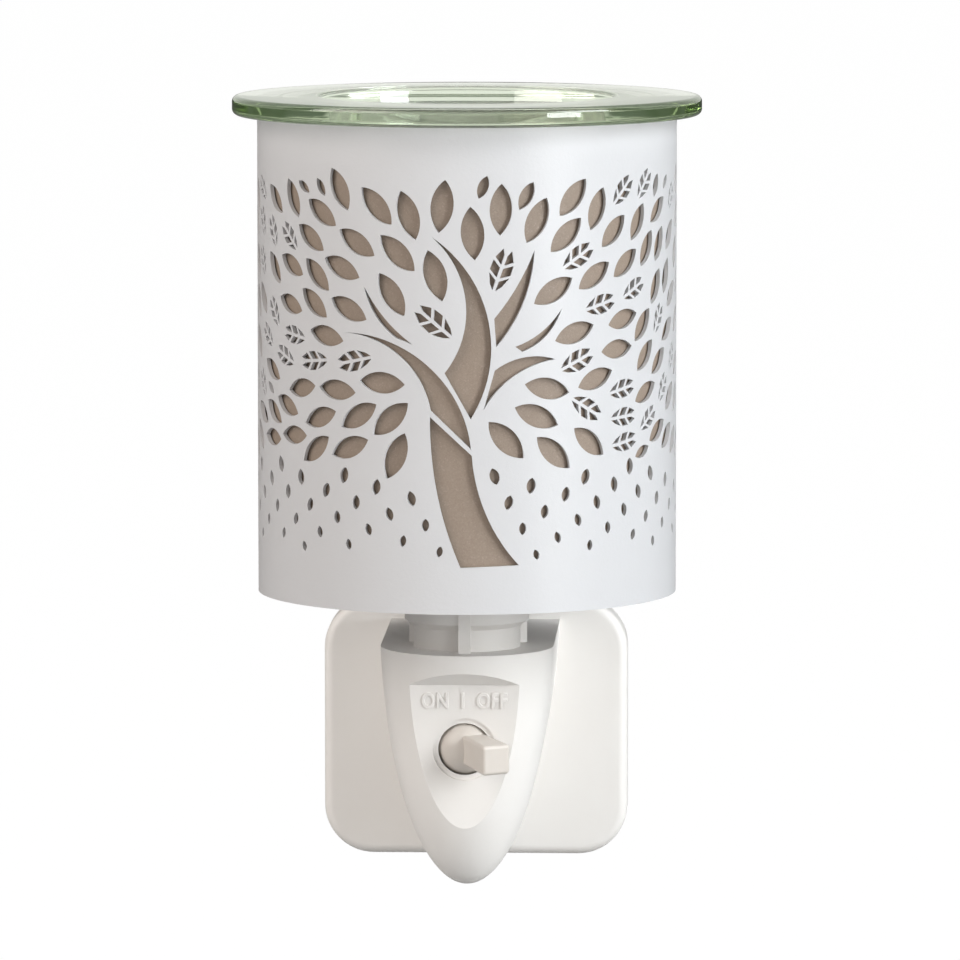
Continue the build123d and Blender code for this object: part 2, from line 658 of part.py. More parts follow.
def bulb_cap():
    """Threaded metal cap with a plain collar around the glass."""
    thread = thread_line(LAMP_CREST, LAMP_ROOT, CAP_BASE, LAMP_TURNS)
    inside = [(CAP_BORE, CAP_TOP), (CAP_BORE, CAP_BASE)]
    return turned(*thread, (LAMP_CREST, CAP_TOP - CAP_COLLAR + CAP_STEP), (LAMP_CREST, CAP_TOP), *inside)


def bulb_line(inset):
    """Half outline of the glass, from the neck in the cap to the crown."""
    neck = CAP_BORE - PIN_FIT - inset
    waist = CAP_TOP + BULB_WAIST
    belly = BULB_RADIUS - inset
    crown = GLASS_BASE + BULB_HEIGHT - inset
    centre = crown - belly
    lean = radians(BULB_FLANK)
    low = (belly * cos(lean), centre - belly * sin(lean))
    flank = Spline((neck, waist), low, tangents=((0, 1), (sin(lean), cos(lean))))
    dome = ThreePointArc(low, (belly, centre), (0, crown))
    return neck, waist, crown, [flank, dome]


def bulb_glass():
    """Thin glass envelope, closed at the crown and open in the cap."""
    neck, waist, crown, outside = bulb_line(0)
    thin, _, dome, inside = bulb_line(BULB_WALL)
    edges = [Line((neck, GLASS_BASE), (neck, waist)), *outside, Line((0, crown), (0, dome)), *inside]
    edges += [Line((thin, waist), (thin, GLASS_BASE)), Line((thin, GLASS_BASE), (neck, GLASS_BASE))]
    return LAMP_AXIS * revolve(Plane.XZ * make_face(edges), axis=Axis.Z)


def bulb_stem():
    """Glass stem inside the lamp, flared to the neck, with a flat press on top."""
    flare = CAP_BORE - 2 * PIN_FIT - BULB_WALL
    top = GLASS_BASE + STEM_LENGTH
    foot = [(0, GLASS_BASE), (flare, GLASS_BASE), (STEM_RADIUS, GLASS_BASE + STEM_FLARE)]
    stem = turned(*foot, (STEM_RADIUS, top), (0, top))
    press = Box(PRESS_WIDTH, PRESS_THICKNESS, PRESS_HEIGHT)
    return stem + Pos(0, AXIS_Y, top + PRESS_HEIGHT / 2 - STEM_RADIUS) * press


def bulb_filament():
    """Filament with its two leads, bent from one thin wire that stands on the press."""
    low = GLASS_BASE + STEM_LENGTH + PRESS_HEIGHT - STEM_RADIUS
    high = low + FILAMENT_RISE
    foot = PRESS_WIDTH / 2 - 2 * FILAMENT_RADIUS
    half = [(foot, low), (foot, low + FILAMENT_LEAD), (FILAMENT_SPREAD, high)]
    left = [(-x, AXIS_Y, z) for x, z in half]
    right = [(x, AXIS_Y, z) for x, z in half[::-1]]
    path = FilletPolyline(*left, (0, AXIS_Y, high - FILAMENT_SAG), *right, radius=[FILAMENT_BEND] * 5)
    section = Plane(origin=path @ 0, z_dir=path % 0) * Circle(FILAMENT_RADIUS)
    return sweep(section, path=path)


def shade_floor():
    """Sheet pan in the foot of the shade, with air slots and an upturned flange for the liner."""
    outer = SHADE_BORE - FLOOR_FIT
    hole = THREAD_RADIUS + RING_FIT
    outline = [(hole, SHOULDER_TOP), (outer, SHOULDER_TOP), (outer, FLOOR_TOP), (FLANGE_RADIUS, FLOOR_TOP)]
    outline += [(FLANGE_RADIUS, FLANGE_TOP), (FLANGE_BORE, FLANGE_TOP), (FLANGE_BORE, FLOOR_TOP)]
    pan = turned(*outline, (hole, FLOOR_TOP))
    slot = extrude(SlotOverall(VENT_LENGTH, VENT_WIDTH), amount=4 * SHEET, both=True)
    slot = Pos(VENT_CIRCLE, 0, SHOULDER_TOP) * slot
    slots = [LAMP_AXIS * Rot(0, 0, (turn + 0.5) * 360 / VENT_COUNT) * slot for turn in range(VENT_COUNT)]
    return pan.cut(*slots)


def shade_ring():
    """Threaded ring that clamps the shade's floor, with finger notches round its edge."""
    ring = tube(RING_RADIUS, THREAD_RADIUS + RING_FIT, FLOOR_TOP, FLOOR_TOP + RING_HEIGHT)
    notch = Pos(RING_RADIUS, 0, FLOOR_TOP) * Cylinder(RING_NOTCH_RADIUS, 3 * RING_HEIGHT)
    notches = [LAMP_AXIS * Rot(0, 0, turn * 360 / RING_NOTCHES) * notch for turn in range(RING_NOTCHES)]
    return ring.cut(*notches)


def liner():
    """Rolled sheet between the shade and the floor's flange, lapped at the back above the flange."""
    top = SHADE_TOP - SHEET - LINER_GAP
    sheet = tube(LINER_RADIUS, LINER_BORE, FLOOR_TOP, top)
    lap = tube(LINER_BORE, LINER_BORE - LINER_THICKNESS, FLANGE_TOP + LINER_GAP, top)
    window = Pos(0, AXIS_Y + LINER_BORE, (FLOOR_TOP + top) / 2) * Box(LINER_LAP, LINER_BORE, 2 * SHADE_HEIGHT)
    return sheet + (lap & window)


def glass_dish():
    """Pressed glass dish: wide flat rim, a steep-sided well and a locating shoulder."""
    top = SHADE_TOP + DISH_RIM
    foot = LIP_BORE - DISH_FIT
    low = SHADE_TOP - DISH_SHOULDER
    floor = top - WELL_DEPTH
    bottom = floor - DISH_WALL
    drawing = FilletPolyline(
        (0, floor), (WELL_FLOOR_RADIUS, floor), (WELL_RADIUS, top), (DISH_RADIUS, top),
        (DISH_RADIUS, SHADE_TOP), (foot, SHADE_TOP), (foot, low), (WELL_RADIUS + DISH_WALL, low),
        (WELL_FLOOR_RADIUS + DISH_WALL, bottom), (0, bottom),
        radius=[WELL_CURVE, WELL_LIP, RIM_EDGE, RIM_EDGE, 0, SHOULDER_EDGE, SHOULDER_CURVE, WELL_CURVE],
    )
    outline = make_face([*drawing.edges(), Line((0, bottom), (0, floor))])
    return LAMP_AXIS * revolve(Plane.XZ * outline, axis=Axis.Z)


def shade_patch(u, v):
    """Plane inside the shade at an unrolled place, facing out, x along u and y along v."""
    turn = u / SHADE_RADIUS
    out = Vector(sin(turn), -cos(turn), 0)
    origin = Vector(0, AXIS_Y, SHADE_BASE + v) + out * (SHADE_BORE - CUT_REACH)
    return Plane(origin=origin, x_dir=(cos(turn), sin(turn), 0), z_dir=out)


def stem_sides(points):
    """Left and right edges of the trunk or of a limb, both from the base upwards."""
    left = ThreePointArc(*points[:3])
    right = ThreePointArc(*points[:-4:-1])
    return left, right


def stem_face(points):
    """Drawing of the trunk or a limb, from its two curved edges."""
    left, right = stem_sides(points)
    edges = [left, right, Line(left @ 0, right @ 0)]
    if (left @ 1 - right @ 1).length > VEIN_WIDTH:
        edges.append(Line(left @ 1, right @ 1))
    return make_face(edges)


def stem_discs(points):
    """Discs (u, v, radius) that cover the trunk or a limb, for keeping leaves clear of it."""
    left, right = stem_sides(points)
    shares = [step / STEM_STEPS for step in range(STEM_STEPS + 1)]
    pairs = [(left @ share, right @ share) for share in shares]
    return [((a.X + b.X) / 2, (a.Y + b.Y) / 2, (a - b).length / 2) for a, b in pairs]


def leaf_discs(u, v, length, width, angle):
    """Discs that cover a pointed leaf, along its midrib."""
    along = Vector(cos(angle), sin(angle)) * length
    return [(u + share * along.X, v + share * along.Y, part * width) for share, part in LEAF_COVER]


def is_clear(discs, taken, web):
    """True if the discs keep the web's width from all taken ones, round the whole shade."""
    span = 2 * pi * SHADE_RADIUS / TREE_COUNT
    for u, v, radius in discs:
        for other_u, other_v, other_radius in taken:
            apart = abs(u - other_u)
            apart = min(apart, span - apart)
            if hypot(apart, v - other_v) < radius + other_radius + web:
                return False
    return True


def crown_leaves(taken):
    """Leaves on a spiral of the golden angle round the crown, the largest first, then the gaps.

    A leaf points away from the crown's middle, and stands up towards the sides of the tree.
    """
    half_span = pi * SHADE_RADIUS / TREE_COUNT
    leaves = []
    for size in LEAF_SIZES:
        for seed in range(1, LEAF_SEEDS):
            reach = LEAF_SPREAD * sqrt(seed)
            turn = seed * GOLDEN_ANGLE
            u = CROWN_U + CROWN_STRETCH * reach * cos(turn)
            v = CROWN_V + reach * sin(turn)
            if abs(u) > half_span or not LEAF_BOTTOM < v < LEAF_TOP:
                continue
            upright = LEAF_LIFT + LEAF_RISE * (u / half_span) ** LEAF_RISE_POWER
            angle = atan2(v - CROWN_V + upright, u - CROWN_U) + LEAF_SWAY * sin(seed)
            length = (LEAF_LENGTH - LEAF_SHRINK * abs(u) / half_span) * size
            width = length * LEAF_SLENDER
            discs = leaf_discs(u, v, length, width, angle)
            if is_clear(discs, taken, LEAF_WEB):
                taken += discs
                veined = len(leaves) % VEIN_EVERY == 0 and length > VEIN_MIN_LENGTH
                leaves.append((u, v, length, width, angle, veined))
    return leaves


def falling_leaves(taken):
    """Small leaves scattered below the crown by the golden share, smaller lower down."""
    span = 2 * pi * SHADE_RADIUS / TREE_COUNT
    leaves = []
    for seed in range(FALLING_COUNT):
        share = (seed + 0.5) / FALLING_COUNT
        u = span * ((seed * GOLDEN_SHARE) % 1.0 - 0.5)
        v = FALLING_LOW + FALLING_BAND * share
        length = FALLING_LENGTH + FALLING_GROWTH * share
        angle = pi / 2 + LEAF_SWAY * sin(seed)
        discs = leaf_discs(u, v, length, length * FALLING_SLENDER, angle)
        if is_clear(discs, taken, FALLING_WEB):
            taken += discs
            leaves.append((u, v, length, length * FALLING_SLENDER, angle, False))
    return leaves


def leaf_face(length, width):
    """Pointed leaf along X between two arcs."""
    tail, tip = (-length / 2, 0), (length / 2, 0)
    return make_face([ThreePointArc(tail, (0, width / 2), tip), ThreePointArc(tip, (0, -width / 2), tail)])


def vein_faces(length, width):
    """The openings of a veined leaf: slanted cells on both sides of the midrib."""
    rib = VEIN_WIDTH / 2
    step = VEIN_SPAN * length / VEIN_PAIRS
    lean = VEIN_LEAN * step

    def edge(x):
        return max(width / 2 * (1 - (2 * x / length) ** 2), rib)

    cells = []
    for pair in range(VEIN_PAIRS):
        low = pair * step - VEIN_FROM * length
        high = low + step - VEIN_WIDTH
        far_low, far_high = low + lean, min(high + lean, VEIN_END * length)
        for side in (1, -1):
            corners = [(low, side * rib), (high, side * rib), (far_high, side * edge(far_high))]
            cells.append(make_face(Polyline(*corners, (far_low, side * edge(far_low)), close=True)))
    return cells


def shade_holes():
    """Cutters for all trees: trunk, limbs, crown leaves and falling leaves."""
    stems = (TRUNK, *LIMBS)
    taken = [disc for points in stems for disc in stem_discs(points)]
    leaves = crown_leaves(taken)
    leaves += falling_leaves(taken)
    depth = 2 * CUT_REACH
    span = 2 * pi * SHADE_RADIUS / TREE_COUNT
    cutters = []
    for tree in range(TREE_COUNT):
        for points in stems:
            face = stem_face(points)
            middle = face.center()
            patch = shade_patch(middle.X + tree * span, middle.Y)
            cutters.append(extrude(patch * Pos(-middle.X, -middle.Y) * face, amount=depth))
        for u, v, length, width, angle, veined in leaves:
            patch = shade_patch(u + tree * span, v) * Rot(0, 0, angle * 180 / pi)
            faces = vein_faces(length, width) if veined else [leaf_face(length, width)]
            cutters += [extrude(patch * face, amount=depth) for face in faces]
    return cutters


def shade():
    """Steel shade with its seam at the back, an inward lip for the dish and the cut-out trees."""
    outline = [(SHADE_BORE, SHADE_BASE), (SHADE_RADIUS, SHADE_BASE), (SHADE_RADIUS, SHADE_TOP)]
    outline += [(LIP_BORE, SHADE_TOP), (LIP_BORE, SHADE_TOP - SHEET), (SHADE_BORE, SHADE_TOP - SHEET)]
    return turned(*outline, seam=SEAM_TURN).cut(*shade_holes())


PIECES = {
    "glass_dish": glass_dish,
    "shade": shade,
    "liner": liner,
    "shade_floor": shade_floor,
    "shade_ring": shade_ring,
    "lampholder": lampholder,
    "lampholder_nut": lampholder_nut,
    "screw_shell": screw_shell,
    "centre_contact": centre_contact,
    "bulb_tip": bulb_tip,
    "bulb_insulator": bulb_insulator,
    "bulb_cap": bulb_cap,
    "bulb_glass": bulb_glass,
    "bulb_stem": bulb_stem,
    "bulb_filament": bulb_filament,
    "base_housing": base_housing,
    "back_cover": back_cover,
    "cover_screws": cover_screws,
    "earth_pin": earth_pin,
    "pin_sleeves": pin_sleeves,
    "switch_body": switch_body,
    "toggle_pivot": toggle_pivot,
    "toggle_lever": toggle_lever,
    "switch_wiper": switch_wiper,
    "switch_terminals": switch_terminals,
    "line_wire": line_wire,
    "switched_wire": switched_wire,
    "neutral_wire": neutral_wire,
}

for name, make in PIECES.items():
    export_step(make(), f"parts/{name}.step")
for name, side in (("line_pin", 1), ("neutral_pin", -1)):
    export_step(current_pin(side), f"parts/{name}.step")
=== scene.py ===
"""Looks of a plug-in wax melt warmer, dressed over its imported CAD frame.

Sizes are in metres, +Z up. The wall plate's back face lies on y = 0, and the
lamp's axis stands upright in front of it, at y = AXIS_Y.
"""

import logging
import math
from dataclasses import dataclass
from enum import Enum

import bpy
import numpy as np
from mathutils import Matrix, Vector


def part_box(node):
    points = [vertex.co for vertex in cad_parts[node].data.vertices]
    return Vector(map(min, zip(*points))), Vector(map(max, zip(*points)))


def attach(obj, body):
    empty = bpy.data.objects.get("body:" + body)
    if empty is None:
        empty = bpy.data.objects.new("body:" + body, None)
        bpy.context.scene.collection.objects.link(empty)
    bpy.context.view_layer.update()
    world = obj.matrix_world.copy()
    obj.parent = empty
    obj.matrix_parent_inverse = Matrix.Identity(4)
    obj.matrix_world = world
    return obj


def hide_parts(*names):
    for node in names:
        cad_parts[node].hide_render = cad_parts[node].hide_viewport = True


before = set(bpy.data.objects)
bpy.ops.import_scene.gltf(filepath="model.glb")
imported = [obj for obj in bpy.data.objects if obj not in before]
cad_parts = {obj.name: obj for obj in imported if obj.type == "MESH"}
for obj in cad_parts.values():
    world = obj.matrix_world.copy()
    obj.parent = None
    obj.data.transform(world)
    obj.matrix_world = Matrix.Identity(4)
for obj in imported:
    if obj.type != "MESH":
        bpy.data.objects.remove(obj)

Colour = tuple[float, float, float]
Place = tuple[float, float, float]
Span = tuple[float, float]

LOG = logging.getLogger("warmer")
MM = 0.001
AXIS_Y = -50.0 * MM
BLACK: Colour = (0.0, 0.0, 0.0)
WHITE: Colour = (1.0, 1.0, 1.0)

# Most of a noise texture's values fall in this span.
NOISE_SPAN: Span = (0.3, 0.7)
# How much finer a skin's grain is than its ripple.
GRAIN_FINENESS = 4.0
# Shares of single flakes and of slow patches in a pressed sheet's tone, and the patches' scale.
FLAKE_SHARE = 0.55
PATCH_SHARE = 0.45
PATCH_SCALE = 0.25


class Body(Enum):
    """Moving bodies of the warmer that new pieces ride on."""

    BASE = "base"
    DISH = "dish"
    BULB = "bulb"


class Effect(Enum):
    """Shared surface effects, each a shader node group."""

    CLOUD = "surface_cloud"
    PEEL = "skin_peel"
    FLAKE = "sheet_flake"
    BRUSH = "metal_brush"


def rgba(colour: Colour) -> tuple[float, float, float, float]:
    """Colour with full alpha."""
    return (*colour, 1.0)


def set_inputs(node: bpy.types.Node, values: dict[str, object]) -> None:
    """Set default values of a node's input sockets by name."""
    for key, value in values.items():
        node.inputs[key].default_value = value


class Graph:
    """Adds nodes and links to one node tree."""

    def __init__(self, tree: bpy.types.NodeTree) -> None:
        """Keep the tree that the nodes go into."""
        self.tree = tree

    def node(
        self, kind: str, values: dict[str, object] | None = None, **settings: object,
    ) -> bpy.types.Node:
        """Add a node.

        Args:
            kind: Blender's name of the node type.
            values: Default values of input sockets by name.
            settings: Attributes of the node, set before the values.

        Returns:
            The new node.
        """
        made = self.tree.nodes.new(kind)
        for key, value in settings.items():
            setattr(made, key, value)
        set_inputs(made, values or {})
        return made

    def link(self, source: bpy.types.NodeSocket, target: bpy.types.NodeSocket) -> None:
        """Join an output socket to an input socket."""
        self.tree.links.new(source, target)

    def feed(self, target: bpy.types.NodeSocket, item: object) -> None:
        """Link a socket to an input, or set the input to a value.

        Args:
            target: The input socket.
            item: Socket or value.
        """
        if isinstance(item, bpy.types.NodeSocket):
            self.link(item, target)
        else:
            target.default_value = item

    def math(self, operation: str, first: object, second: object) -> bpy.types.NodeSocket:
        """Combine two numbers or sockets.

        Args:
            operation: Name of the Math node's operation.
            first: Socket or number.
            second: Socket or number.

        Returns:
            The result's socket.
        """
        made = self.node("ShaderNodeMath", operation=operation)
        self.feed(made.inputs[0], first)
        self.feed(made.inputs[1], second)
        return made.outputs[0]

    def remap(
        self, value: bpy.types.NodeSocket, low: object, high: object, span: Span = (0.0, 1.0),
    ) -> bpy.types.NodeSocket:
        """Map a value from a span to new ends, held at both.

        Args:
            value: The value's socket.
            low: Socket or number that the span's start becomes.
            high: Socket or number that the span's end becomes.
            span: The value's span.

        Returns:
            The result's socket.
        """
        made = self.node("ShaderNodeMapRange", {"From Min": span[0], "From Max": span[1]})
        self.link(value, made.inputs["Value"])
        self.feed(made.inputs["To Min"], low)
        self.feed(made.inputs["To Max"], high)
        return made.outputs["Result"]

    def mix(
        self, factor: bpy.types.NodeSocket, first: object, second: object,
    ) -> bpy.types.NodeSocket:
        """Mix two colours.

        Args:
            factor: Socket with the second colour's share.
            first: Socket or colour with alpha.
            second: Socket or colour with alpha.

        Returns:
            The mixed colour's socket.
        """
        made = self.node("ShaderNodeMix", data_type="RGBA")
        self.link(factor, made.inputs["Factor"])
        self.feed(made.inputs["A"], first)
        self.feed(made.inputs["B"], second)
        return made.outputs["Result"]

    def mix_shaders(
        self, factor: bpy.types.NodeSocket, first: bpy.types.NodeSocket,
        second: bpy.types.NodeSocket,
    ) -> bpy.types.NodeSocket:
        """Mix two shaders.

        Args:
            factor: Socket with the second shader's share.
            first: The first shader's socket.
            second: The second shader's socket.

        Returns:
            The mixed shader's socket.
        """
        made = self.node("ShaderNodeMixShader")
        self.link(factor, made.inputs["Fac"])
        self.link(first, made.inputs[1])
        self.link(second, made.inputs[2])
        return made.outputs["Shader"]


class EffectGroups:
    """Builds each shared effect once and hands it out to the finishes."""

    def __init__(self) -> None:
        """Build the four groups."""
        self.trees = {
            Effect.CLOUD: self._cloud(),
            Effect.PEEL: self._peel(),
            Effect.FLAKE: self._flake(),
            Effect.BRUSH: self._brush(),
        }

    def place(self, graph: Graph, effect: Effect, values: dict[str, object]) -> bpy.types.Node:
        """Put an effect into a material on Object coordinates.

        Args:
            graph: The material's graph.
            effect: Which effect.
            values: The effect's own input values.

        Returns:
            The group node.
        """
        made = graph.node("ShaderNodeGroup")
        made.node_tree = self.trees[effect]
        set_inputs(made, values)
        where = graph.node("ShaderNodeTexCoord")
        graph.link(where.outputs["Object"], made.inputs["Vector"])
        return made

    @staticmethod
    def _start(
        effect: Effect, inputs: dict[str, str], outputs: dict[str, str],
    ) -> tuple[Graph, bpy.types.Node, bpy.types.Node]:
        """Start a group with its sockets.

        Args:
            effect: The effect that names the group.
            inputs: Socket types by input name.
            outputs: Socket types by output name.

        Returns:
            The graph, the input node and the output node.
        """
        tree = bpy.data.node_groups.new(effect.value, "ShaderNodeTree")
        for way, sockets in (("INPUT", inputs), ("OUTPUT", outputs)):
            for name, kind in sockets.items():
                tree.interface.new_socket(name, in_out=way, socket_type=f"NodeSocket{kind}")
        graph = Graph(tree)
        return graph, graph.node("NodeGroupInput"), graph.node("NodeGroupOutput")

    def _cloud(self) -> bpy.types.NodeTree:
        """Slow noise that mixes two colours and moves the roughness between two values.

        Returns:
            The group's tree.
        """
        graph, given, result = self._start(
            Effect.CLOUD,
            {"Vector": "Vector", "Colour": "Color", "Shade": "Color", "Scale": "Float",
             "Smooth": "Float", "Rough": "Float"},
            {"Colour": "Color", "Roughness": "Float"},
        )
        noise = graph.node("ShaderNodeTexNoise", {"Detail": 4.0, "Roughness": 0.6})
        graph.link(given.outputs["Vector"], noise.inputs["Vector"])
        graph.link(given.outputs["Scale"], noise.inputs["Scale"])
        spread = graph.remap(noise.outputs["Fac"], 0.0, 1.0, NOISE_SPAN)
        tone = graph.mix(spread, given.outputs["Colour"], given.outputs["Shade"])
        graph.link(tone, result.inputs["Colour"])
        gloss = graph.remap(spread, given.outputs["Smooth"], given.outputs["Rough"])
        graph.link(gloss, result.inputs["Roughness"])
        return graph.tree

    def _peel(self) -> bpy.types.NodeTree:
        """Height of a sprayed or moulded skin: fine grain on a slower ripple.

        Returns:
            The group's tree.
        """
        graph, given, result = self._start(
            Effect.PEEL,
            {"Vector": "Vector", "Scale": "Float", "Ripple": "Float", "Grain": "Float"},
            {"Height": "Float"},
        )
        heights = []
        for share, fineness in (("Ripple", 1.0), ("Grain", GRAIN_FINENESS)):
            noise = graph.node("ShaderNodeTexNoise", {"Detail": 2.0})
            graph.link(given.outputs["Vector"], noise.inputs["Vector"])
            scale = graph.math("MULTIPLY", given.outputs["Scale"], fineness)
            graph.link(scale, noise.inputs["Scale"])
            heights.append(graph.math("MULTIPLY", noise.outputs["Fac"], given.outputs[share]))
        graph.link(graph.math("ADD", *heights), result.inputs["Height"])
        return graph.tree

    def _flake(self) -> bpy.types.NodeTree:
        """Small flakes of random tone, as in a pressed mineral sheet, with their own height.

        Returns:
            The group's tree.
        """
        graph, given, result = self._start(
            Effect.FLAKE,
            {"Vector": "Vector", "Scale": "Float", "Dark": "Color", "Light": "Color",
             "Glint": "Float"},
            {"Colour": "Color", "Glint": "Float", "Height": "Float"},
        )
        cells = graph.node("ShaderNodeTexVoronoi", {"Randomness": 1.0})
        noise = graph.node("ShaderNodeTexNoise", {"Detail": 3.0})
        for made in (cells, noise):
            graph.link(given.outputs["Vector"], made.inputs["Vector"])
        graph.link(given.outputs["Scale"], cells.inputs["Scale"])
        patch_scale = graph.math("MULTIPLY", given.outputs["Scale"], PATCH_SCALE)
        graph.link(patch_scale, noise.inputs["Scale"])
        parts = graph.node("ShaderNodeSeparateColor")
        graph.link(cells.outputs["Color"], parts.inputs["Color"])
        flakes = graph.math("MULTIPLY", parts.outputs["Red"], FLAKE_SHARE)
        patches = graph.math("MULTIPLY", noise.outputs["Fac"], PATCH_SHARE)
        tone = graph.math("ADD", flakes, patches)
        colour = graph.mix(tone, given.outputs["Dark"], given.outputs["Light"])
        graph.link(colour, result.inputs["Colour"])
        bright = graph.math("GREATER_THAN", parts.outputs["Green"], given.outputs["Glint"])
        graph.link(bright, result.inputs["Glint"])
        graph.link(parts.outputs["Blue"], result.inputs["Height"])
        return graph.tree

    def _brush(self) -> bpy.types.NodeTree:
        """Noise drawn out along one axis: tool marks that move height and roughness.

        Returns:
            The group's tree.
        """
        graph, given, result = self._start(
            Effect.BRUSH,
            {"Vector": "Vector", "Stretch": "Vector", "Smooth": "Float", "Rough": "Float"},
            {"Roughness": "Float", "Height": "Float"},
        )
        drawn = graph.node("ShaderNodeVectorMath", operation="MULTIPLY")
        graph.link(given.outputs["Vector"], drawn.inputs[0])
        graph.link(given.outputs["Stretch"], drawn.inputs[1])
        noise = graph.node("ShaderNodeTexNoise", {"Scale": 1.0, "Detail": 5.0, "Roughness": 0.65})
        graph.link(drawn.outputs["Vector"], noise.inputs["Vector"])
        marks = noise.outputs["Fac"]
        gloss = graph.remap(marks, given.outputs["Smooth"], given.outputs["Rough"], NOISE_SPAN)
        graph.link(gloss, result.inputs["Roughness"])
        graph.link(marks, result.inputs["Height"])
        return graph.tree


def new_material(name: str) -> tuple[bpy.types.Material, Graph, bpy.types.Node]:
    """Start a node material.

    Args:
        name: The material's name.

    Returns:
        The material, its graph and its Principled BSDF.
    """
    made = bpy.data.materials.new(name)
    made.use_nodes = True
    graph = Graph(made.node_tree)
    return made, graph, made.node_tree.nodes["Principled BSDF"]


def add_bump(
    graph: Graph, shader: bpy.types.Node, height: bpy.types.NodeSocket, depth: float,
) -> None:
    """Feed a height to the shader's normal.

    Args:
        graph: The material's graph.
        shader: The Principled BSDF.
        height: Socket with the height, from 0 to about 1.
        depth: Depth of the relief in metres.
    """
    bump = graph.node("ShaderNodeBump", {"Strength": 1.0, "Distance": depth})
    graph.link(height, bump.inputs["Height"])
    graph.link(bump.outputs["Normal"], shader.inputs["Normal"])


@dataclass(frozen=True)
class Skin:
    """Plastic, paint or insulation: a faintly clouded colour under a fine skin."""

    name: str
    colour: Colour
    shade: Colour
    gloss: Span
    cloud: float = 60.0
    peel: float = 900.0
    ripple: float = 0.7
    grain: float = 0.3
    depth: float = 0.00002
    coat: float = 0.0
    coat_roughness: float = 0.2
    ior: float = 1.48

    def material(self, groups: EffectGroups) -> bpy.types.Material:
        """Build the node material.

        Args:
            groups: The shared effects.

        Returns:
            The material.
        """
        made, graph, shader = new_material(self.name)
        cloud = groups.place(graph, Effect.CLOUD, {
            "Colour": rgba(self.colour), "Shade": rgba(self.shade), "Scale": self.cloud,
            "Smooth": self.gloss[0], "Rough": self.gloss[1],
        })
        graph.link(cloud.outputs["Colour"], shader.inputs["Base Color"])
        graph.link(cloud.outputs["Roughness"], shader.inputs["Roughness"])
        peel = groups.place(graph, Effect.PEEL, {
            "Scale": self.peel, "Ripple": self.ripple, "Grain": self.grain,
        })
        add_bump(graph, shader, peel.outputs["Height"], self.depth)
        set_inputs(shader, {
            "IOR": self.ior, "Coat Weight": self.coat, "Coat Roughness": self.coat_roughness,
        })
        return made


@dataclass(frozen=True)
class Metal:
    """Bare metal with tool marks along one axis and a clouded tarnish."""

    name: str
    colour: Colour
    shade: Colour
    gloss: Span
    stretch: tuple[float, float, float] = (1500.0, 1500.0, 120.0)
    depth: float = 0.000012
    cloud: float = 220.0

    def material(self, groups: EffectGroups) -> bpy.types.Material:
        """Build the node material.

        Args:
            groups: The shared effects.

        Returns:
            The material.
        """
        made, graph, shader = new_material(self.name)
        cloud = groups.place(graph, Effect.CLOUD, {
            "Colour": rgba(self.colour), "Shade": rgba(self.shade), "Scale": self.cloud,
        })
        graph.link(cloud.outputs["Colour"], shader.inputs["Base Color"])
        brush = groups.place(graph, Effect.BRUSH, {
            "Stretch": self.stretch, "Smooth": self.gloss[0], "Rough": self.gloss[1],
        })
        graph.link(brush.outputs["Roughness"], shader.inputs["Roughness"])
        add_bump(graph, shader, brush.outputs["Height"], self.depth)
        set_inputs(shader, {"Metallic": 1.0})
        return made


@dataclass(frozen=True)
class ClearGlass:
    """Clear glass, which may tint the light on long ways through it, and may carry a faint
    painted glow after many reflections.
    """

    name: str
    tint: Colour
    absorbed: Colour = WHITE
    density: float = 0.0
    gloss: Span = (0.01, 0.04)
    scale: float = 45.0
    ripple: float = 0.9
    grain: float = 0.1
    depth: float = 0.00006
    painted_glow: Colour = BLACK
    glow_after: float = 3.5
    ior: float = 1.52

    def add_painted_glow(self, graph: Graph, shader: bpy.types.Node) -> None:
        """Painted glow: the glass emits a dim colour on paths that have bounced many times
        between its faces, standing in for the light that those paths lose when they end.

        Args:
            graph: The material's graph.
            shader: The Principled BSDF.
        """
        path = graph.node("ShaderNodeLightPath")
        late = graph.math("GREATER_THAN", path.outputs["Glossy Depth"], self.glow_after)
        glow = graph.mix(late, rgba(BLACK), rgba(self.painted_glow))
        graph.link(glow, shader.inputs["Emission Color"])
        set_inputs(shader, {"Emission Strength": 1.0})

    def material(self, groups: EffectGroups) -> bpy.types.Material:
        """Build the node material.

        Args:
            groups: The shared effects.

        Returns:
            The material.
        """
        made, graph, shader = new_material(self.name)
        cloud = groups.place(graph, Effect.CLOUD, {
            "Scale": self.scale, "Smooth": self.gloss[0], "Rough": self.gloss[1],
        })
        graph.link(cloud.outputs["Roughness"], shader.inputs["Roughness"])
        peel = groups.place(graph, Effect.PEEL, {
            "Scale": self.scale, "Ripple": self.ripple, "Grain": self.grain,
        })
        add_bump(graph, shader, peel.outputs["Height"], self.depth)
        set_inputs(shader, {
            "Base Color": rgba(self.tint), "Transmission Weight": 1.0, "IOR": self.ior,
        })
        # Painted glow inside the glass after many reflections.
        if any(self.painted_glow):
            self.add_painted_glow(graph, shader)
        if self.density:
            inside = graph.node("ShaderNodeVolumeAbsorption", {
                "Color": rgba(self.absorbed), "Density": self.density,
            })
            output = made.node_tree.nodes["Material Output"]
            graph.link(inside.outputs["Volume"], output.inputs["Volume"])
        return made


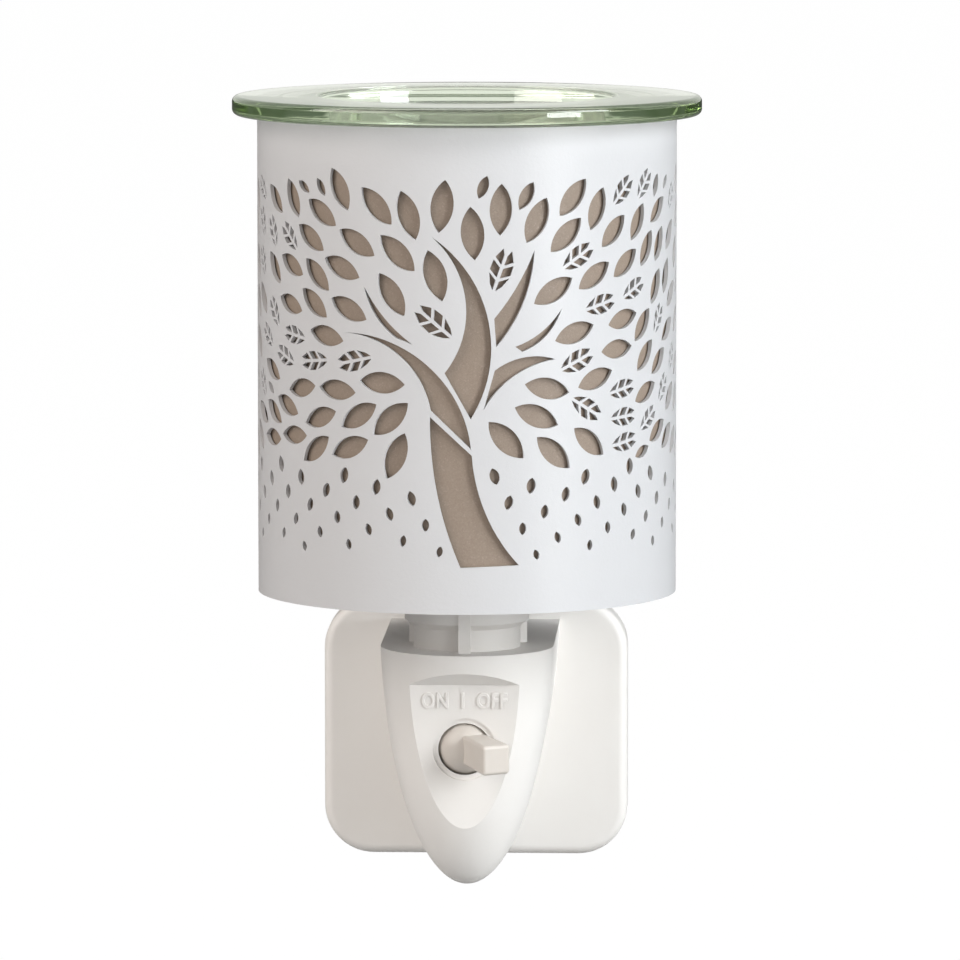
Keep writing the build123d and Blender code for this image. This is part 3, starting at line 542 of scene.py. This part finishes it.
@dataclass(frozen=True)
class FlakedSheet:
    """Heat-proof liner sheet pressed from fine mineral flakes, white on its inner face."""

    name: str
    dark: Colour
    light: Colour
    glint: Colour
    inner: Colour
    middle: float
    scale: float = 4200.0
    glint_over: float = 0.95
    roughness: float = 0.6
    glint_roughness: float = 0.25
    depth: float = 0.00002

    def inner_side(self, graph: Graph) -> bpy.types.NodeSocket:
        """One where the distance from the lamp's axis is under the sheet's middle radius.

        Args:
            graph: The material's graph.

        Returns:
            The mask's socket.
        """
        where = graph.node("ShaderNodeTexCoord")
        shift = graph.node("ShaderNodeVectorMath", operation="SUBTRACT")
        shift.inputs[1].default_value = (0.0, AXIS_Y, 0.0)
        graph.link(where.outputs["Object"], shift.inputs[0])
        flat = graph.node("ShaderNodeVectorMath", operation="MULTIPLY")
        flat.inputs[1].default_value = (1.0, 1.0, 0.0)
        graph.link(shift.outputs["Vector"], flat.inputs[0])
        reach = graph.node("ShaderNodeVectorMath", operation="LENGTH")
        graph.link(flat.outputs["Vector"], reach.inputs[0])
        return graph.math("LESS_THAN", reach.outputs["Value"], self.middle)

    def material(self, groups: EffectGroups) -> bpy.types.Material:
        """Build the node material.

        Args:
            groups: The shared effects.

        Returns:
            The material.
        """
        made, graph, shader = new_material(self.name)
        flake = groups.place(graph, Effect.FLAKE, {
            "Scale": self.scale, "Dark": rgba(self.dark), "Light": rgba(self.light),
            "Glint": self.glint_over,
        })
        glints = flake.outputs["Glint"]
        # Glinting flakes also get a lighter base colour, a painted highlight on top of their
        # lower roughness.
        outer = graph.mix(glints, flake.outputs["Colour"], rgba(self.glint))
        both = graph.mix(self.inner_side(graph), outer, rgba(self.inner))
        graph.link(both, shader.inputs["Base Color"])
        shine = graph.remap(glints, self.roughness, self.glint_roughness)
        graph.link(shine, shader.inputs["Roughness"])
        add_bump(graph, shader, flake.outputs["Height"], self.depth)
        return made


Finish = Skin | Metal | ClearGlass | FlakedSheet

SHADE_PAINT = Skin(
    "white_satin_paint", (0.60, 0.60, 0.61), (0.585, 0.585, 0.595), (0.38, 0.46),
    cloud=25.0, peel=1400.0, depth=0.000035, coat=0.15, coat_roughness=0.35,
)
WHITE_PLASTIC = Skin(
    "white_moulded_plastic", (0.80, 0.78, 0.755), (0.775, 0.75, 0.72), (0.40, 0.50),
    cloud=30.0, peel=700.0, depth=0.00001,
)
SWITCH_PLASTIC = Skin(
    "cream_lever_plastic", (0.64, 0.595, 0.545), (0.615, 0.565, 0.515), (0.36, 0.46),
    cloud=120.0, peel=1100.0,
)
INNER_PLASTIC = Skin(
    "grey_inner_plastic", (0.62, 0.61, 0.58), (0.55, 0.54, 0.51), (0.4, 0.5), cloud=120.0,
)
SLEEVE_PLASTIC = Skin(
    "dark_sleeve_plastic", (0.03, 0.03, 0.034), (0.045, 0.045, 0.05), (0.35, 0.5), cloud=200.0,
)
BROWN_INSULATION = Skin(
    "brown_wire_insulation", (0.22, 0.09, 0.035), (0.17, 0.065, 0.025), (0.35, 0.45), cloud=300.0,
)
BLUE_INSULATION = Skin(
    "blue_wire_insulation", (0.05, 0.13, 0.42), (0.035, 0.1, 0.34), (0.35, 0.45), cloud=300.0,
)
DARK_GLASS = Skin(
    "dark_cap_glass", (0.012, 0.012, 0.014), (0.02, 0.02, 0.022), (0.08, 0.2), cloud=400.0,
)
LINER_SHEET = FlakedSheet(
    "tan_mineral_sheet", dark=(0.255, 0.195, 0.15), light=(0.30, 0.24, 0.19),
    glint=(0.35, 0.285, 0.235), inner=(0.80, 0.79, 0.77), middle=39.7 * MM,
)
# The dish glass carries a faint dark green-grey painted glow on paths after many reflections.
DISH_GLASS = ClearGlass(
    "green_edged_glass", (0.985, 0.995, 0.985), absorbed=(0.42, 0.58, 0.17), density=22.0,
    painted_glow=(0.1, 0.115, 0.105),
)
LAMP_GLASS = ClearGlass("thin_lamp_glass", (0.98, 0.98, 0.98), depth=0.00002)
BRASS = Metal("bright_brass", (0.80, 0.60, 0.28), (0.66, 0.46, 0.19), (0.18, 0.34))
PIN_BRASS = Metal(
    "polished_pin_brass", (0.79, 0.62, 0.33), (0.70, 0.53, 0.26), (0.14, 0.3),
    stretch=(1800.0, 90.0, 1800.0),
)
ZINC = Metal(
    "zinc_plated_steel", (0.62, 0.62, 0.60), (0.50, 0.50, 0.47), (0.25, 0.42),
    stretch=(900.0, 900.0, 900.0),
)
CAP_METAL = Metal("rolled_cap_metal", (0.76, 0.75, 0.72), (0.66, 0.65, 0.62), (0.22, 0.36))
SOLDER = Metal(
    "dull_solder", (0.55, 0.55, 0.53), (0.42, 0.42, 0.40), (0.35, 0.55),
    stretch=(700.0, 700.0, 700.0),
)
TUNGSTEN = Metal(
    "filament_wire", (0.33, 0.33, 0.34), (0.25, 0.25, 0.26), (0.3, 0.45),
    stretch=(3000.0, 3000.0, 3000.0),
)


class Dresser:
    """Builds each finish once and puts it on CAD nodes and new pieces."""

    def __init__(self) -> None:
        """Start with the shared effects and no finishes."""
        self.groups = EffectGroups()
        self.made: dict[str, bpy.types.Material] = {}

    def finish(self, piece: bpy.types.Object, finish: Finish) -> None:
        """Give a piece one finish all over.

        Args:
            piece: CAD node or new piece.
            finish: The finish to wear.
        """
        if finish.name not in self.made:
            self.made[finish.name] = finish.material(self.groups)
        piece.data.materials.clear()
        piece.data.materials.append(self.made[finish.name])
        LOG.info("%s wears %s", piece.name, finish.name)

    def nodes(self, finishes: dict[str, Finish]) -> None:
        """Dress CAD nodes by name."""
        for name, finish in finishes.items():
            self.finish(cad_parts[name], finish)


def new_object(name: str, data: bpy.types.ID) -> bpy.types.Object:
    """Make an object at the origin and link it to the scene.

    Args:
        name: The object's name.
        data: Its mesh, curve, camera or light.

    Returns:
        The object.
    """
    made = bpy.data.objects.new(name, data)
    bpy.context.scene.collection.objects.link(made)
    return made


def mesh_piece(name: str, points: np.ndarray, faces: list[list[int]]) -> bpy.types.Object:
    """Make a smooth piece from points and faces.

    Args:
        name: The piece's name.
        points: Vertices, one row of x, y, z each.
        faces: Vertex numbers of each quad or triangle.

    Returns:
        The piece.
    """
    mesh = bpy.data.meshes.new(name)
    mesh.from_pydata(points.tolist(), [], faces)
    mesh.validate()
    mesh.shade_smooth()
    return new_object(name, mesh)


def angles(count: int) -> np.ndarray:
    """Equal steps round a full turn, in radians."""
    return np.linspace(0.0, 2.0 * math.pi, count, endpoint=False)


def ring_faces(rings: int, count: int) -> np.ndarray:
    """Quads between neighbouring rings, where vertex number is ring * count + place.

    Args:
        rings: Number of rings.
        count: Vertices in each ring, the last joined to the first.

    Returns:
        One row of four vertex numbers for each quad.
    """
    ring = np.arange(rings - 1)[:, None] * count
    place = np.arange(count)[None, :]
    beside = (place + 1) % count
    corners = [ring + place, ring + beside, ring + count + beside, ring + count + place]
    return np.stack([corner.ravel() for corner in corners], axis=1)


def rounded_line(points: list[Span], radii: list[float], steps: int) -> np.ndarray:
    """Polyline whose inner corners are arcs that touch both runs.

    At a corner that turns by an angle a, an arc of radius r starts r * tan(a / 2)
    before the corner, and its points are the start turned about the arc's centre.

    Args:
        points: Corners as (radius, height).
        radii: Arc radius at each inner corner.
        steps: Points on each arc less one.

    Returns:
        Array of (radius, height) rows.
    """
    corner = np.array(points, float)
    line = [corner[:1]]
    for before, at, after, radius in zip(corner[:-2], corner[1:-1], corner[2:], radii):
        into = (at - before) / np.linalg.norm(at - before)
        out = (after - at) / np.linalg.norm(after - at)
        turn = math.atan2(into[0] * out[1] - into[1] * out[0], into @ out)
        start = at - into * radius * math.tan(abs(turn) / 2)
        centre = start + radius * math.copysign(1.0, turn) * np.array([-into[1], into[0]])
        angle = np.linspace(0.0, turn, steps + 1)[:, None]
        arm = start - centre
        line.append(centre + np.cos(angle) * arm + np.sin(angle) * np.array([-arm[1], arm[0]]))
    return np.concatenate([*line, corner[-1:]])


def lathe(name: str, profile: np.ndarray, segments: int) -> bpy.types.Object:
    """Turn a profile about the lamp's axis.

    A point (r, h) goes to (r * cos t, r * sin t, h) for each angle t. The two
    points on the axis become poles, each with a fan of triangles.

    Args:
        name: The piece's name.
        profile: Rows of (radius, height) that start and end on the axis.
        segments: Number of angles.

    Returns:
        The piece.
    """
    angle = angles(segments)
    inner = profile[1:-1]
    x = inner[:, :1] * np.cos(angle)
    y = inner[:, :1] * np.sin(angle) + AXIS_Y
    z = np.broadcast_to(inner[:, 1:], x.shape)
    points = np.stack([x, y, z], axis=2).reshape(-1, 3)
    poles = np.array([[0.0, AXIS_Y, profile[0, 1]], [0.0, AXIS_Y, profile[-1, 1]]])
    here = np.arange(segments)
    beside = (here + 1) % segments
    pole = np.full(segments, len(points))
    last_ring = (len(inner) - 1) * segments
    first = np.stack([pole, beside, here], axis=1)
    last = np.stack([pole + 1, last_ring + here, last_ring + beside], axis=1)
    faces = ring_faces(len(inner), segments).tolist() + first.tolist() + last.tolist()
    return mesh_piece(name, np.concatenate([points, poles]), faces)


@dataclass
class GlassDish:
    """Pressed glass dish with a wide flat rim, soft corners and a steep-sided well."""

    radius: float = 45.9 * MM
    rim: float = 3.8 * MM
    rim_edge: float = 1.2 * MM
    wall: float = 3.0 * MM
    well: float = 29.0 * MM
    floor: float = 27.2 * MM
    depth: float = 9.0 * MM
    lip: float = 1.2 * MM
    curve: float = 5.0 * MM
    foot: float = 36.6 * MM
    foot_curve: float = 0.05 * MM
    shoulder: float = 1.6 * MM
    shoulder_edge: float = 0.4 * MM
    shoulder_curve: float = 1.5 * MM
    air_film: float = 0.03 * MM
    corner_steps: int = 14
    segments: int = 256

    def profile(self) -> np.ndarray:
        """Half section: well floor, lip, rim, outer edge, foot and underside.

        Returns:
            Rows of (radius, height) from the axis round to the axis.
        """
        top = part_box("glass_dish")[1].z
        under = top - self.rim + self.air_film
        low = under - self.shoulder
        base = top - self.depth
        corners = [
            (0.0, base), (self.floor, base), (self.well, top), (self.radius, top),
            (self.radius, under), (self.foot, under), (self.foot, low),
            (self.well + self.wall, low), (self.floor + self.wall, base - self.wall),
            (0.0, base - self.wall),
        ]
        radii = [
            self.curve, self.lip, self.rim_edge, self.rim_edge, self.foot_curve,
            self.shoulder_edge, self.shoulder_curve, self.curve,
        ]
        return rounded_line(corners, radii, self.corner_steps)

    def build(self, dresser: Dresser) -> bpy.types.Object:
        """Make the dish in place of its CAD solid.

        Args:
            dresser: Puts the finish on.

        Returns:
            The dish.
        """
        dish = lathe("pressed_dish", self.profile()[::-1], self.segments)
        dresser.finish(dish, DISH_GLASS)
        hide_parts("glass_dish")
        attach(dish, Body.DISH.value)
        return dish


@dataclass
class ShadeAssembly:
    """Cut-out shade with its liner, floor and clamping ring."""

    def build(self, dresser: Dresser) -> None:
        """Dress the shade's CAD nodes."""
        dresser.nodes({
            "shade": SHADE_PAINT, "liner": LINER_SHEET, "shade_floor": SHADE_PAINT,
            "shade_ring": WHITE_PLASTIC,
        })


@dataclass
class SwitchWords:
    """Raised ON and OFF above the lever, with an upright bar between them."""

    text: str = "ON  I  OFF"
    height: float = 2.9 * MM
    capital_share: float = 0.7
    proud: float = 0.22 * MM
    bevel: float = 0.06 * MM
    bevel_steps: int = 2
    curve_steps: int = 6
    spread: float = 1.08
    narrow: float = 0.8
    weight: float = 0.08 * MM
    panel: Place = (0.0, -62.5 * MM, 12.75 * MM)
    tilt: float = math.radians(3.5)

    def place(self) -> Matrix:
        """Place of the words: x along the panel, y up it and z out of it.

        Returns:
            The matrix from the drawing to the frame.
        """
        out = Vector((0.0, -math.cos(self.tilt), -math.sin(self.tilt)))
        right = Vector((1.0, 0.0, 0.0))
        up = out.cross(right)
        turn = Matrix((right, up, out)).transposed().to_4x4()
        return Matrix.Translation(self.panel) @ turn

    def build(self, dresser: Dresser) -> bpy.types.Object:
        """Make the words as one mesh on the panel.

        Args:
            dresser: Puts the finish on.

        Returns:
            The words.
        """
        curve = bpy.data.curves.new("switch_words", "FONT")
        curve.body = self.text
        curve.align_x, curve.align_y = "CENTER", "CENTER"
        curve.size = self.height / self.capital_share
        curve.space_character = self.spread
        curve.offset = self.weight
        curve.extrude = self.proud
        curve.bevel_depth = self.bevel
        curve.bevel_resolution = self.bevel_steps
        curve.resolution_u = self.curve_steps
        drawing = new_object("switch_words_drawing", curve)
        bpy.context.view_layer.update()
        mesh = bpy.data.meshes.new_from_object(drawing)
        bpy.data.objects.remove(drawing)
        mesh.transform(self.place() @ Matrix.Diagonal((self.narrow, 1.0, 1.0, 1.0)))
        mesh.name = "switch_words"
        words = new_object("switch_words", mesh)
        dresser.finish(words, WHITE_PLASTIC)
        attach(words, Body.BASE.value)
        return words


@dataclass
class BaseAssembly:
    """Wall plate and bullet body with the pins, the switch and the wires inside."""

    def build(self, dresser: Dresser) -> None:
        """Dress the base's CAD nodes and add the switch words."""
        dresser.nodes({
            "base_housing": WHITE_PLASTIC, "back_cover": WHITE_PLASTIC, "cover_screws": ZINC,
            "line_pin": PIN_BRASS, "neutral_pin": PIN_BRASS, "earth_pin": WHITE_PLASTIC,
            "pin_sleeves": SLEEVE_PLASTIC, "switch_body": INNER_PLASTIC, "toggle_pivot": ZINC,
            "toggle_lever": SWITCH_PLASTIC, "switch_wiper": BRASS, "switch_terminals": BRASS,
            "line_wire": BROWN_INSULATION, "switched_wire": BROWN_INSULATION,
            "neutral_wire": BLUE_INSULATION,
        })
        SwitchWords().build(dresser)


@dataclass
class CoiledFilament:
    """Filament wound into a fine coil that sags between its two leads."""

    foot: float = 1.9 * MM
    inset: float = 0.3 * MM
    sag: float = 1.4 * MM
    coil: float = 0.24 * MM
    coil_wire: float = 0.05 * MM
    lead_wire: float = 0.14 * MM
    lead_points: int = 9
    turns: int = 26
    turn_steps: int = 14
    sides: int = 6

    def wire(self, path: np.ndarray, out: np.ndarray, radius: float) -> np.ndarray:
        """Round wire: p + r * (cos t * n + sin t * b) at each place p.

        Here n is the direction out, made square to the wire, and b = tangent x n.

        Args:
            path: Places along the wire.
            out: A direction across the wire at each place.
            radius: Radius of the wire, closed to a point at both ends.

        Returns:
            Vertices, one ring for each place and one for each closed end.
        """
        along = np.gradient(path, axis=0)
        along /= np.linalg.norm(along, axis=1, keepdims=True)
        normal = out - along * np.sum(out * along, axis=1, keepdims=True)
        normal /= np.linalg.norm(normal, axis=1, keepdims=True)
        side = np.cross(along, normal)
        angle = angles(self.sides)[None, :, None]
        across = np.cos(angle) * normal[:, None] + np.sin(angle) * side[:, None]
        rings = path[:, None] + radius * across
        ends = np.repeat(path[[0, -1]][:, None], self.sides, axis=1)
        return np.concatenate([ends[:1], rings, ends[1:]]).reshape(-1, 3)

    def wires(self) -> list[np.ndarray]:
        """Coil and leads: the coil's middle sags as a parabola, and each lead leans out as one.

        Returns:
            Vertices of the coil and the two leads.
        """
        low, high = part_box("bulb_filament")
        reach, top = high.x - self.inset, high.z - self.inset
        share = np.linspace(-1.0, 1.0, self.turns * self.turn_steps + 1)
        turn = math.pi * self.turns * share
        out = np.stack([np.zeros_like(turn), np.cos(turn), np.sin(turn)], axis=1)
        height = top - self.sag * (1.0 - share ** 2)
        middle = np.stack([reach * share, np.full_like(share, AXIS_Y), height], axis=1)
        wires = [self.wire(middle + self.coil * out, out, self.coil_wire)]
        rise = np.linspace(0.0, 1.0, self.lead_points)
        lean = self.foot + (reach - self.foot) * rise ** 2
        height = low.z + (top - low.z) * rise
        back = np.tile([0.0, 1.0, 0.0], (self.lead_points, 1))
        for side in (-1.0, 1.0):
            lead = np.stack([side * lean, np.full_like(rise, AXIS_Y), height], axis=1)
            wires.append(self.wire(lead, back, self.lead_wire))
        return wires

    def build(self, dresser: Dresser) -> bpy.types.Object:
        """Make the filament in place of its CAD solid.

        Args:
            dresser: Puts the finish on.

        Returns:
            The filament.
        """
        wires = self.wires()
        faces, start = [], 0
        for points in wires:
            faces += (ring_faces(len(points) // self.sides, self.sides) + start).tolist()
            start += len(points)
        filament = mesh_piece("coiled_filament", np.concatenate(wires), faces)
        dresser.finish(filament, TUNGSTEN)
        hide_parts("bulb_filament")
        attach(filament, Body.BULB.value)
        return filament


@dataclass
class LampAssembly:
    """Lampholder with its contacts, and the screw-cap lamp."""

    def build(self, dresser: Dresser) -> None:
        """Wind the filament and dress the lamp's CAD nodes."""
        CoiledFilament().build(dresser)
        dresser.nodes({
            "lampholder": WHITE_PLASTIC, "lampholder_nut": ZINC, "screw_shell": BRASS,
            "centre_contact": BRASS, "bulb_tip": SOLDER, "bulb_insulator": DARK_GLASS,
            "bulb_cap": CAP_METAL, "bulb_glass": LAMP_GLASS, "bulb_stem": LAMP_GLASS,
        })


@dataclass
class PhotoCamera:
    """Camera at the photograph's place, looking slightly down at the front."""

    place: Place = (61.7 * MM, -1536.5 * MM, 216.9 * MM)
    yaw: float = math.radians(2.279)
    pitch: float = math.radians(6.214)
    lens: float = 285.8
    sensor: float = 36.0
    clip: Span = (0.01, 50.0)

    def build(self) -> bpy.types.Object:
        """Make the camera and give it to the scene.

        Returns:
            The camera.
        """
        data = bpy.data.cameras.new("front_camera")
        data.lens = self.lens
        data.sensor_width = self.sensor
        data.clip_start, data.clip_end = self.clip
        camera = new_object("front_camera", data)
        camera.location = self.place
        camera.rotation_euler = (math.pi / 2 - self.pitch, 0.0, self.yaw)
        bpy.context.scene.camera = camera
        return camera


@dataclass(frozen=True)
class SoftLamp:
    """Square soft lamp that looks at the warmer, with its power in watts."""

    name: str
    place: Place
    side: float
    power: float
    colour: Colour
    aim: Place = (0.0, AXIS_Y, 50.0 * MM)

    def build(self) -> bpy.types.Object:
        """Make the lamp.

        Returns:
            The lamp.
        """
        data = bpy.data.lights.new(self.name, "AREA")
        data.size, data.energy, data.color = self.side, self.power, self.colour
        lamp = new_object(self.name, data)
        lamp.location = self.place
        look = Vector(self.aim) - Vector(self.place)
        lamp.rotation_euler = look.to_track_quat("-Z", "Y").to_euler()
        return lamp


LAMPS = (
    SoftLamp("low_key", (1.214, -1.068, 0.273), 0.5, 12.0, (0.965, 0.99, 1.0)),
    SoftLamp("high_key", (1.256, -0.636, 0.85), 0.7, 19.0, (0.94, 0.975, 1.0)),
    SoftLamp("front_fill", (0.0, -1.65, 0.05), 1.0, 3.2, (1.0, 0.97, 0.94)),
    SoftLamp("left_fill", (-1.2, -0.743, 0.85), 1.2, 21.0, (1.0, 0.945, 0.9)),
)


@dataclass
class Studio:
    """Pale floor, white surround, a card for the gloss and soft lamps."""

    floor_height: float = -140.0 * MM
    floor_span: Span = (0.05, 9.0)
    floor_rings: int = 12
    floor_segments: int = 64
    floor_colour: Colour = (0.45, 0.45, 0.45)
    floor_roughness: float = 0.9
    floor_glow: float = 1.025
    whiteness: float = 0.97
    sky: Colour = (1.0, 0.985, 0.965)
    sky_span: Span = (0.1, 0.9)
    overhead: float = 0.2
    underneath: float = 0.02
    card_back: float = 20.0 * MM
    card_half: float = 0.6
    card_span: Span = (0.131, 0.6)
    card_colour: Colour = (0.98, 1.0, 0.93)
    card_glow: float = 0.8

    def background_ray(self, graph: Graph) -> bpy.types.NodeSocket:
        """One for rays from the camera, straight or through glass.

        Args:
            graph: The graph that needs the test.

        Returns:
            The test's socket.
        """
        path = graph.node("ShaderNodeLightPath")
        straight, through = path.outputs["Is Camera Ray"], path.outputs["Is Transmission Ray"]
        return graph.math("MAXIMUM", straight, through)

    def world(self) -> None:
        """White surround for the eye, and a dimmer light that grows from below to overhead."""
        world = bpy.data.worlds.new("studio")
        world.use_nodes = True
        bpy.context.scene.world = world
        graph = Graph(world.node_tree)
        output = world.node_tree.nodes["World Output"]
        light = world.node_tree.nodes["Background"]
        set_inputs(light, {"Color": rgba(self.sky)})
        where = graph.node("ShaderNodeTexCoord")
        parts = graph.node("ShaderNodeSeparateXYZ")
        graph.link(where.outputs["Generated"], parts.inputs["Vector"])
        fade = graph.remap(parts.outputs["Z"], self.underneath, self.overhead, self.sky_span)
        graph.link(fade, light.inputs["Strength"])
        seen = graph.node("ShaderNodeBackground", {"Color": rgba(WHITE), "Strength": 1.0})
        surround = graph.mix_shaders(
            self.background_ray(graph), light.outputs["Background"], seen.outputs["Background"],
        )
        graph.link(surround, output.inputs["Surface"])

    def floor(self) -> bpy.types.Object:
        """Round pale floor: radius and angle give x = r cos t and y = r sin t.

        Returns:
            The floor.
        """
        radius = np.linspace(*self.floor_span, self.floor_rings)[:, None]
        angle = angles(self.floor_segments)[None, :]
        x, y = radius * np.cos(angle), radius * np.sin(angle)
        points = np.stack([x, y, np.full_like(x, self.floor_height)], axis=2).reshape(-1, 3)
        faces = ring_faces(self.floor_rings, self.floor_segments).tolist()
        floor = mesh_piece("pale_floor", points, faces)
        made, graph, shader = new_material("pale_floor")
        set_inputs(shader, {
            "Base Color": rgba(self.floor_colour), "Roughness": self.floor_roughness,
        })
        glow = graph.node("ShaderNodeEmission", {
            "Color": rgba(WHITE), "Strength": self.floor_glow,
        })
        white = graph.math("MULTIPLY", self.background_ray(graph), self.whiteness)
        surface = graph.mix_shaders(white, shader.outputs["BSDF"], glow.outputs["Emission"])
        graph.link(surface, made.node_tree.nodes["Material Output"].inputs["Surface"])
        floor.data.materials.append(made)
        return floor

    def card(self) -> bpy.types.Object:
        """White card behind the dish, seen only in the gloss of the glass and the paint.

        Returns:
            The card.
        """
        half, back = self.card_half, self.card_back
        low, high = self.card_span
        points = np.array([
            [-half, back, low], [half, back, low], [half, back, high], [-half, back, high],
        ])
        card = mesh_piece("white_card", points, [[0, 1, 2, 3]])
        made, _, shader = new_material("white_card")
        set_inputs(shader, {
            "Base Color": rgba(BLACK), "Emission Color": rgba(self.card_colour),
            "Emission Strength": self.card_glow,
        })
        card.data.materials.append(made)
        card.visible_camera = card.visible_diffuse = False
        card.visible_shadow = card.visible_transmission = False
        return card

    def build(self) -> None:
        """Set up the whole studio."""
        bpy.context.scene.view_settings.view_transform = "Standard"
        self.world()
        self.floor()
        self.card()
        for lamp in LAMPS:
            lamp.build()


def main() -> None:
    """Dress the frame, build the new pieces and the studio."""
    logging.basicConfig(level=logging.INFO, format="%(name)s: %(message)s")
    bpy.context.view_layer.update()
    PhotoCamera().build()
    Studio().build()
    dresser = Dresser()
    GlassDish().build(dresser)
    for assembly in (ShadeAssembly(), BaseAssembly(), LampAssembly()):
        assembly.build(dresser)
    bpy.context.view_layer.update()


if __name__ == "__main__":
    main()
